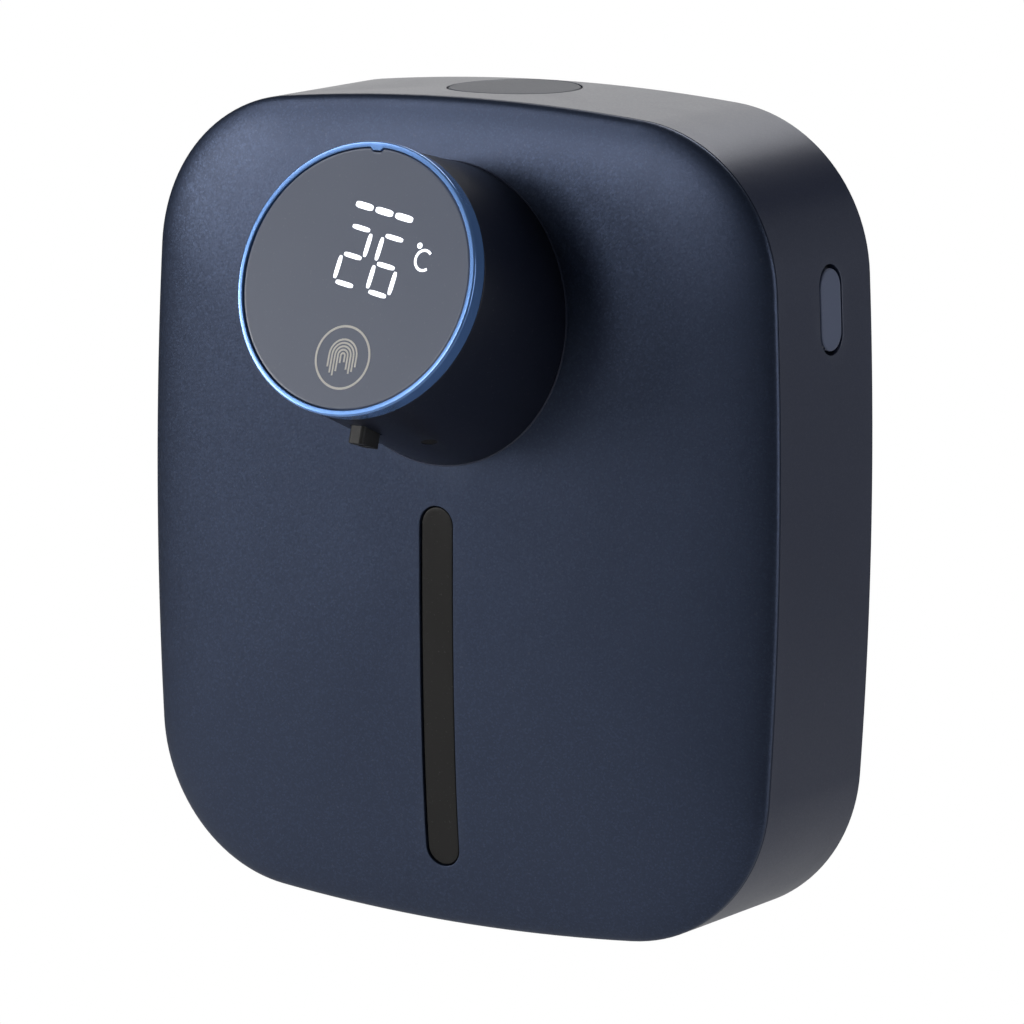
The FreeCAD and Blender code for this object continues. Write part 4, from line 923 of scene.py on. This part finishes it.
def buildFlap():
    low = band["flapZ"] - band["flapHalf"] + band["flapRadius"]
    high = band["flapZ"] + band["flapHalf"] - band["flapRadius"]
    profile = roundedProfile(band["flapRadius"], 0.0, 9.0, flap["edge"], 5)

    def place(a, b, depth):
        point = onSide(a, b, depth)
        return (flap["back"], point[1], point[2]) if depth > 5 else point

    piece = stadiumSolid("charge_cover", profile, low, high, place, straight=14)

    def knuckle(a, b, y):
        return (flap["hingeX"] + a, y, flap["hingeZ"] + b)

    half = flap["knuckleHalf"]
    section = rodSection(flap["knuckle"], band["flapY"] - half, band["flapY"] + half)
    return carve(piece, revolved("knuckle", section, evenAngles(24), knuckle), "UNION")


# the flap takes the lighter copy of the cap rubber, which paints light onto it
complete(buildFlap(), "charge_flap", "cap_rubber", ["usb_flap"], material=litFlapRubber)


# spout head: barrel, ring, glass

def keyShare(angle):
    # 1 across the small key at the top of the ring, 0 elsewhere, with sloping sides
    across = abs(head["ringInner"] * math.cos(angle))
    if math.sin(angle) < 0 or across > head["nubHalf"]:
        return 0.0
    return min(1.0, (head["nubHalf"] - across) / 0.5)


def keyAngles():
    half = head["nubHalf"] / head["ringInner"]
    close = [math.pi / 2 + half * (i / 12) for i in range(-14, 15)]
    rest = [a for a in evenAngles(240) if abs(a - math.pi / 2) > half * 15 / 12]
    return sorted(close + rest)


def ringInner(angle):
    return head["ringInner"] - head["nubHeight"] * keyShare(angle)


def buildRing():
    outer, edge, length = head["ringRadius"], head["ringEdge"], head["ringLength"]

    def inside(extra):
        return lambda angle: ringInner(angle) + extra

    profile = [(inside(0.12), 0.0)]
    profile += [(outer - edge + along, inward) for along, inward in quarterTurn(edge, 6)]
    profile += [(outer, length * 0.5), (outer, length - 0.12), (outer - 0.12, length),
                (head["ringInner"], length)]
    profile += [(inside(0.0), 1.4), (inside(0.0), 0.12)]
    return revolved("ring", profile, keyAngles(), onHead)


def buildGlass():
    top, bottom = head["glassInset"], head["glassBack"]

    def rim(extra):
        return lambda angle: head["ringInner"] - 0.1 - extra - (head["nubHeight"] + 0.05) * keyShare(angle)

    profile = [(radius, top) for radius in (0.0, 8.0, 14.0, 18.0, rim(0.45), rim(0.2))]
    profile += [(rim(0.06), top + 0.07), (rim(0.0), top + 0.25), (rim(0.0), bottom), (14.0, bottom),
                (0.0, bottom)]
    return revolved("face_glass", profile, keyAngles(), onHead)


barrel = {"edge": 0.25, "innerStart": 6.0, "outerShares": (0.15, 0.3, 0.45, 0.6, 0.75, 0.9, 1.0),
          "innerShares": (1.0, 0.6, 0.25),
          "seats": ((18.9, 9.4), (17.3, 9.0), (17.3, 6.6), (18.8, 6.4), (18.8, 1.7), (20.15, 1.7),
                    (20.15, 3.05))}


def buildBarrel():
    start, wall = head["barrelStart"], head["barrelWall"]
    angles = evenAngles(180)
    outerEnds = [coneAt(angle, 0.0, head["baseY"]) for angle in angles]
    innerEnds = [coneAt(angle, -wall, head["baseY"]) for angle in angles]
    points = []
    rings = 0
    edge = barrel["edge"]
    for along, inward in quarterTurn(edge, 3):
        radius = head["barrelRadius"] - edge + along
        depth = start + inward
        points += [onHead(radius * math.cos(a), radius * math.sin(a), depth) for a in angles]
        rings += 1
    for share in barrel["outerShares"]:
        for a, end in zip(angles, outerEnds):
            depth = start + edge + (end - start - edge) * share
            radius = barrelRadius(depth)
            points.append(onHead(radius * math.cos(a), radius * math.sin(a), depth))
        rings += 1
    for share in barrel["innerShares"]:
        for a, end in zip(angles, innerEnds):
            depth = start + barrel["innerStart"] + (end - start - barrel["innerStart"]) * share
            radius = barrelRadius(depth) - wall
            points.append(onHead(radius * math.cos(a), radius * math.sin(a), depth))
        rings += 1
    for radius, depth in barrel["seats"]:
        points += [onHead(radius * math.cos(a), radius * math.sin(a), depth) for a in angles]
        rings += 1
    return tidyMesh(makeObject("barrel", points, ringFaces(rings, len(angles), True)))


bead = {"lift": 0.1, "radius": 0.16, "sides": 8}


def buildBead():
    # thin raised line where the barrel leaves the front
    sides = bead["sides"]
    points = []
    angles = evenAngles(180)
    for angle in angles:
        depth = coneAt(angle, bead["lift"], lambda p: crownY(p.x, p.z))
        radius = barrelRadius(depth) + bead["lift"]
        middle = Vector(onHead(radius * math.cos(angle), radius * math.sin(angle), depth))
        out = (Vector((math.cos(angle), 0, 0)) + headUp * math.sin(angle)).normalized()
        for turn in evenAngles(sides):
            points.append(middle + (out * math.cos(turn) - headOut * math.sin(turn)) * bead["radius"])
    faces = []
    count = len(angles)
    for i in range(count):
        for j in range(sides):
            a, b = i * sides + j, i * sides + (j + 1) % sides
            c, d = (i + 1) % count * sides + (j + 1) % sides, (i + 1) % count * sides + j
            faces.append((a, b, c, d))
    return tidyMesh(makeObject("base_bead", points, faces))


slot = {"half": 1.45, "deep": 2.75, "low": -30.0, "high": -15.0}
lens = {"radius": 1.32, "near": 16.5, "far": 30.0}


def nozzleSlot():
    half, deep = slot["half"], slot["deep"]
    points = []
    for b in (slot["low"], slot["high"]):
        for a, d in ((-half, -deep), (half, -deep), (half, deep), (-half, deep)):
            points.append(onHead(a, b, head["nozzleDepth"] + d))
    faces = [(0, 1, 2, 3), (4, 7, 6, 5), (0, 4, 5, 1), (1, 5, 6, 2), (2, 6, 7, 3), (3, 7, 4, 0)]
    return tidyMesh(makeObject("slot", points, faces))


def lensCutter(side):
    turn = math.radians(head["sensorAngle"]) * side
    out = Vector((math.sin(turn), 0, 0)) - headUp * math.cos(turn)
    across = Vector((math.cos(turn), 0, 0)) + headUp * math.sin(turn)
    centre = onHead(0, 0, head["sensorDepth"])

    def place(a, b, reach):
        return centre + out * reach + across * a - headOut * b

    section = rodSection(lens["radius"], lens["near"], lens["far"])
    return revolved("lensHole", section, evenAngles(40), place)


barrelPiece = buildBarrel()
carve(barrelPiece, nozzleSlot())
carve(barrelPiece, lensCutter(-1))
carve(barrelPiece, lensCutter(1))
complete(barrelPiece, "dispenser", "barrel_gloss", ["head_barrel"])
complete(buildBead(), "dispenser", "barrel_gloss", material=finishes["band_paint"])
complete(buildRing(), "dispenser", "blue_chrome", ["bezel_ring"])
complete(buildGlass(), "dispenser", "face_glass", ["display_glass"])


# lit segments, made by a node tree from a list of strokes

display = {"digitWidth": 4.09, "digitHeight": 4.42, "stroke": 0.76, "gap": 0.42, "turn": -10.0, "lean": 8.8,
           "firstDigit": (-3.83, -0.62), "pitch": 6.32, "firstDash": (-0.54, 11.21), "dashLength": 3.3,
           "dashPitch": 3.77, "dashStroke": 1.05, "lift": 0.03}


def segmentStrokes():
    # seven-segment strokes as (x, y, angle, length, stroke) on the face
    turn = math.radians(display["turn"])
    right = Vector((math.cos(turn), math.sin(turn)))
    up = Vector((math.sin(math.radians(display["lean"])), math.cos(math.radians(display["lean"]))))
    w, h = display["digitWidth"], display["digitHeight"]
    bars = {"low": (0.5, 0, 0), "middle": (0.5, 1, 0), "high": (0.5, 2, 0), "lowLeft": (0, 0.5, 1),
            "highLeft": (0, 1.5, 1), "lowRight": (1, 0.5, 1), "highRight": (1, 1.5, 1)}
    shown = (("low", "middle", "high", "lowLeft", "highRight"),
             ("low", "middle", "high", "lowLeft", "highLeft", "lowRight"))
    strokes = []
    for place, names in enumerate(shown):
        origin = Vector(display["firstDigit"]) + right * display["pitch"] * place
        for name in names:
            across, rise, upright = bars[name]
            centre = origin + right * (across * w) + up * (rise * h)
            direction = up if upright else right
            length = (h if upright else w) - display["gap"] - display["stroke"] * 0.5
            angle = math.atan2(direction.y, direction.x)
            strokes.append((centre.x, centre.y, angle, length, display["stroke"]))
    start = Vector(display["firstDash"])
    for i in range(3):
        centre = start + right * (display["dashPitch"] * i)
        strokes.append((centre.x, centre.y, turn, display["dashLength"], display["dashStroke"]))
    return strokes


def segmentTree():
    tree = bpy.data.node_groups.new("litSegmentBars", "GeometryNodeTree")
    addSocket(tree, "Geometry", "INPUT", "NodeSocketGeometry")
    addSocket(tree, "Bar Thickness", "INPUT", "NodeSocketFloat", 0.00003)
    addSocket(tree, "Corner Share", "INPUT", "NodeSocketFloat", 0.3)
    addSocket(tree, "Glow", "INPUT", "NodeSocketMaterial")
    addSocket(tree, "Geometry", "OUTPUT", "NodeSocketGeometry")
    entry = addNode(tree, "NodeGroupInput", -1100)
    leave = addNode(tree, "NodeGroupOutput", 900)
    outline = addNode(tree, "GeometryNodeCurvePrimitiveQuadrilateral", -900, -300)
    outline.inputs["Width"].default_value = 1.0
    outline.inputs["Height"].default_value = 1.0
    soften = addNode(tree, "GeometryNodeFilletCurve", -700, -300)
    if hasattr(soften, "mode"):
        soften.mode = "POLY"
    soften.inputs["Count"].default_value = 6
    connect(tree, outline.outputs[0], soften.inputs["Curve"])
    connect(tree, entry.outputs["Corner Share"], soften.inputs["Radius"])
    fill = addNode(tree, "GeometryNodeFillCurve", -500, -300)
    fill.mode = "NGONS"
    connect(tree, soften.outputs[0], fill.inputs["Curve"])
    thick = addNode(tree, "GeometryNodeExtrudeMesh", -300, -300, mode="FACES")
    thick.inputs["Individual"].default_value = False
    connect(tree, fill.outputs[0], thick.inputs["Mesh"])
    connect(tree, entry.outputs["Bar Thickness"], thick.inputs["Offset Scale"])
    under = addNode(tree, "GeometryNodeFlipFaces", -300, -500)
    connect(tree, fill.outputs[0], under.inputs[0])
    both = addNode(tree, "GeometryNodeJoinGeometry", -100, -350)
    connect(tree, thick.outputs["Mesh"], both.inputs[0])
    connect(tree, under.outputs[0], both.inputs[0])
    sealed = addNode(tree, "GeometryNodeMergeByDistance", 50, -350)
    sealed.inputs["Distance"].default_value = 0.000001
    connect(tree, both.outputs[0], sealed.inputs[0])
    size = addNode(tree, "GeometryNodeInputNamedAttribute", -700, 200, data_type="FLOAT_VECTOR")
    size.inputs["Name"].default_value = "size"
    turned = addNode(tree, "GeometryNodeInputNamedAttribute", -700, 50, data_type="FLOAT_VECTOR")
    turned.inputs["Name"].default_value = "turned"
    spread = addNode(tree, "GeometryNodeInstanceOnPoints", 250)
    connect(tree, entry.outputs["Geometry"], spread.inputs["Points"])
    connect(tree, sealed.outputs[0], spread.inputs["Instance"])
    connect(tree, turned.outputs["Attribute"], spread.inputs["Rotation"])
    connect(tree, size.outputs["Attribute"], spread.inputs["Scale"])
    real = addNode(tree, "GeometryNodeRealizeInstances", 450)
    connect(tree, spread.outputs[0], real.inputs[0])
    paint = addNode(tree, "GeometryNodeSetMaterial", 650)
    connect(tree, real.outputs[0], paint.inputs["Geometry"])
    connect(tree, entry.outputs["Glow"], paint.inputs["Material"])
    connect(tree, paint.outputs[0], leave.inputs[0])
    return tree


def buildSegments():
    strokes = segmentStrokes()
    mesh = bpy.data.meshes.new("lit_segments")
    mesh.from_pydata([(x * mm, y * mm, 0) for x, y, _, _, _ in strokes], [], [])
    size = mesh.attributes.new("size", "FLOAT_VECTOR", "POINT")
    size.data.foreach_set("vector", [v for _, _, _, l, s in strokes for v in (l * mm, s * mm, 1.0)])
    turned = mesh.attributes.new("turned", "FLOAT_VECTOR", "POINT")
    turned.data.foreach_set("vector", [v for _, _, a, _, _ in strokes for v in (0.0, 0.0, a)])
    piece = bpy.data.objects.new("lit_segments", mesh)
    scene.collection.objects.link(piece)
    runTree(piece, segmentTree(), Bar_Thickness=display["lift"] * mm, Corner_Share=0.3, Glow=litWhite)
    for vertex in piece.data.vertices:
        spot = vertex.co / mm
        vertex.co = Vector(onHead(spot.x, spot.y, head["glassInset"] - spot.z)) * mm
    return tidyMesh(piece, 0.0000005)


complete(buildSegments(), "dispenser", "light_guide", material=litWhite)


# thin strokes on the face: degree mark, letter and touch symbol

def ribbon(points, width, closed=False):
    # a flat stroke along face points, as one closed shell
    count = len(points)
    left, right = [], []
    for i, point in enumerate(points):
        before = points[i - 1] if i or closed else points[i]
        after = points[(i + 1) % count] if i < count - 1 or closed else points[i]
        direction = (Vector(after) - Vector(before)).normalized()
        side = Vector((-direction.y, direction.x)) * width / 2
        left.append(Vector(point) + side)
        right.append(Vector(point) - side)
    spots = []
    for low in (0, 1):
        depth = head["glassInset"] - (0.0 if low else display["lift"])
        spots += [onHead(p.x, p.y, depth) for p in left]
        spots += [onHead(p.x, p.y, depth) for p in right]
    n = count
    faces = []
    for i in range(n if closed else n - 1):
        j = (i + 1) % n
        faces += [(i, j, n + j, n + i), (2 * n + i, 3 * n + i, 3 * n + j, 2 * n + j),
                  (i, 2 * n + i, 2 * n + j, j), (n + i, n + j, 3 * n + j, 3 * n + i)]
    if not closed:
        faces += [(0, n, 3 * n, 2 * n), (n - 1, 3 * n - 1, 4 * n - 1, 2 * n - 1)]
    return spots, faces


def arcPoints(x, y, rx, ry, start, end, count):
    return [(x + rx * math.cos(math.radians(start + (end - start) * i / count)),
             y + ry * math.sin(math.radians(start + (end - start) * i / count))) for i in range(count + 1)]


def strokesObject(name, strokes):
    points, faces = [], []
    for line, width, closed in strokes:
        spots, sides = ribbon(line, width, closed)
        faces += [tuple(i + len(points) for i in face) for face in sides]
        points += spots
    return tidyMesh(makeObject(name, points, faces), 0.0000005)


unitMark = {"degree": (10.53, 5.86), "degreeRadius": 0.3, "letter": (11.61, 3.67), "radii": (1.45, 1.55),
            "stroke": 0.42}
degree = arcPoints(*unitMark["degree"], unitMark["degreeRadius"], unitMark["degreeRadius"], 0, 337.5, 15)
letter = arcPoints(*unitMark["letter"], *unitMark["radii"], 42, 305, 28)
complete(strokesObject("unit_mark", [(degree, 0.34, True), (letter, unitMark["stroke"], False)]),
         "dispenser", "light_guide", material=litWhite)

touch = {"centre": (0.15, -12.2), "radius": 4.8, "line": 0.36, "ridges": 5, "ridgeStart": 0.36,
         "ridgeStep": 0.53,
         "ridgeLine": 0.31, "archRise": 0.3, "legs": (1.2, 2.5, 3.2, 2.8, 1.9)}


def touchStrokes():
    cx, cy = touch["centre"]
    strokes = [(arcPoints(cx, cy, touch["radius"], touch["radius"], 0, 356, 89), touch["line"], True)]
    for i in range(touch["ridges"]):
        radius = touch["ridgeStart"] + touch["ridgeStep"] * i
        base = cy + touch["archRise"]
        arch = arcPoints(cx, base, radius, radius, 0, 180, 14)
        leg = touch["legs"][i]
        steps = [(cx - radius, base - leg * k / 5) for k in range(1, 6)]
        other = [(cx + radius, base - leg * 0.85 * k / 5) for k in range(5, 0, -1)]
        strokes.append((other + arch + steps, touch["ridgeLine"], False))
    return strokes


complete(strokesObject("touch_symbol", touchStrokes()), "dispenser", "light_guide", material=printedCream)


# pieces whose edges are softened copies of the frame's own shapes

softened = {"wall_plate": ("wall_bracket", "dark_plastic", 0.3),
            "rear_cover": ("dispenser", "dark_plastic", 0.25),
            "nozzle": ("dispenser", "black_plastic", 0.12), "case_screws": ("dispenser", "steel", 0.1)}


def softenedCopy(node, width):
    source = nodes[node]
    piece = bpy.data.objects.new("soft_" + node, source.data.copy())
    scene.collection.objects.link(piece)
    shape = bmesh.new()
    shape.from_mesh(piece.data)
    bmesh.ops.remove_doubles(shape, verts=shape.verts, dist=0.000002)
    bmesh.ops.dissolve_limit(shape, angle_limit=math.radians(0.6), verts=shape.verts, edges=shape.edges)
    shape.to_mesh(piece.data)
    shape.free()
    return roundEdges(piece, width)


for node, (bodyName, slotName, width) in softened.items():
    complete(softenedCopy(node, width), bodyName, slotName, [node])


# finishes on the frame's own shapes

slotOf = {}
for entry in frame["record"]["materials"]:
    for name in entry.get("nodes", []):
        slotOf[name] = entry["slot"]
for name, piece in nodes.items():
    if piece.hide_render:
        continue
    for place in piece.material_slots:
        slotName = place.material.name.split(".")[0] if place.material else ""
        place.material = finishes.get(slotOf.get(name, slotName), finishes["dark_plastic"])
    if not piece.material_slots:
        piece.data.materials.append(finishes[slotOf.get(name, "dark_plastic")])
print("finishes set on", len(nodes), "nodes")


# studio

studio = {"lowest": -66.9, "floorDrop": 0.30, "floorSize": 14.0, "floorSteps": 12, "lightAmbient": 0.05,
          "lamps": {"keyLeft": ((-1.05, -1.0, 0.25), 0.55, 5.3, (1.0, 0.985, 0.96)),
                    "frontLeft": ((-0.5, -1.35, 0.4), 0.36, 2.4, (1.0, 0.99, 0.98)),
                    "highLeft": ((-0.9, -0.8, 0.9), 0.6, 3.4, (0.99, 0.99, 1.0)),
                    "sideRight": ((1.4, 0.5, 0.1), 0.9, 3.6, (0.95, 0.97, 1.0)),
                    "behindLeft": ((-0.75, 1.3, 0.35), 1.1, 2.6, (1.0, 0.99, 0.98)),
                    "topBack": ((-0.15, 0.9, 1.1), 0.9, 5.4, (1.0, 0.99, 0.98)),
                    "behindRight": ((0.8, 1.3, 0.2), 1.0, 0.4, (0.96, 0.98, 1.0))}}


def buildFloor():
    half = studio["floorSize"] / 2 / mm
    z = studio["lowest"] - studio["floorDrop"] / mm
    points = []
    count = studio["floorSteps"]
    for i in range(count + 1):
        for j in range(count + 1):
            points.append((-half + 2 * half * i / count, -half + 2 * half * j / count, z))
    faces = []
    for i in range(count):
        for j in range(count):
            a = i * (count + 1) + j
            faces.append((a, a + count + 1, a + count + 2, a + 1))
    floor = makeObject("floor", points, faces)
    material = finish("paleFloor", {"colour": (0.80, 0.80, 0.80), "second": (0.83, 0.83, 0.83),
                                    "rough": (0.8, 0.9), "grain": 40.0, "bump": 0.02, "dust": 0.0})
    tree = material.node_tree
    seen = setInputs(addNode(tree, "ShaderNodeEmission", 600, -400), Strength=1.0)
    seen.inputs["Color"].default_value = (1.0, 1.0, 1.0, 1.0)
    path = addNode(tree, "ShaderNodeLightPath", 300, -600)
    blend = addNode(tree, "ShaderNodeMixShader", 850, -200)
    connect(tree, path.outputs["Is Camera Ray"], blend.inputs[0])
    connect(tree, tree.nodes["Principled BSDF"].outputs[0], blend.inputs[1])
    connect(tree, seen.outputs[0], blend.inputs[2])
    connect(tree, blend.outputs[0], tree.nodes["Material Output"].inputs["Surface"])
    floor.data.materials.append(material)


def buildWorld():
    world = bpy.data.worlds.new("studioAir")
    world.use_nodes = True
    tree = world.node_tree
    tree.nodes.clear()
    leave = addNode(tree, "ShaderNodeOutputWorld", 600)
    seen = setInputs(addNode(tree, "ShaderNodeBackground", 0, 100), Strength=1.0)
    seen.inputs["Color"].default_value = (1.0, 1.0, 1.0, 1.0)
    ambient = setInputs(addNode(tree, "ShaderNodeBackground", 0, -100), Strength=studio["lightAmbient"])
    ambient.inputs["Color"].default_value = (0.93, 0.96, 1.0, 1.0)
    path = addNode(tree, "ShaderNodeLightPath", -300, 300)
    blend = addNode(tree, "ShaderNodeMixShader", 300)
    connect(tree, path.outputs["Is Camera Ray"], blend.inputs[0])
    connect(tree, ambient.outputs[0], blend.inputs[1])
    connect(tree, seen.outputs[0], blend.inputs[2])
    connect(tree, blend.outputs[0], leave.inputs[0])
    scene.world = world


def buildLamps():
    target = Vector((0, -0.03, 0.0))
    for name, (spot, size, power, colour) in studio["lamps"].items():
        data = bpy.data.lights.new(name, "AREA")
        data.shape = "DISK"
        data.size = size
        data.energy = power
        data.color = colour
        lamp = bpy.data.objects.new(name, data)
        lamp.location = spot
        lamp.rotation_euler = (target - Vector(spot)).to_track_quat("-Z", "Y").to_euler()
        lamp.visible_camera = False
        scene.collection.objects.link(lamp)


view = {"place": (0.437996, -0.71122, 0.144841), "target": (0.010124, -0.0301, 0.001529), "lens": 183.48,
        "roll": 0.4407}


def buildCamera():
    data = bpy.data.cameras.new("camera")
    data.lens = view["lens"]
    data.sensor_width = 36.0
    data.clip_start = 0.05
    data.clip_end = 60.0
    camera = bpy.data.objects.new("camera", data)
    place, target = Vector(view["place"]), Vector(view["target"])
    forward = (target - place).normalized()
    right = forward.cross(Vector((0, 0, 1))).normalized()
    up = right.cross(forward)
    roll = math.radians(view["roll"])
    rolledRight = right * math.cos(roll) + up * math.sin(roll)
    rolledUp = up * math.cos(roll) - right * math.sin(roll)
    turn = Matrix((rolledRight, rolledUp, -forward)).transposed().to_4x4()
    camera.matrix_world = Matrix.Translation(place) @ turn
    scene.collection.objects.link(camera)
    scene.camera = camera


buildFloor()
buildWorld()
buildLamps()
buildCamera()
scene.view_settings.view_transform = "Standard"
print("studio ready")
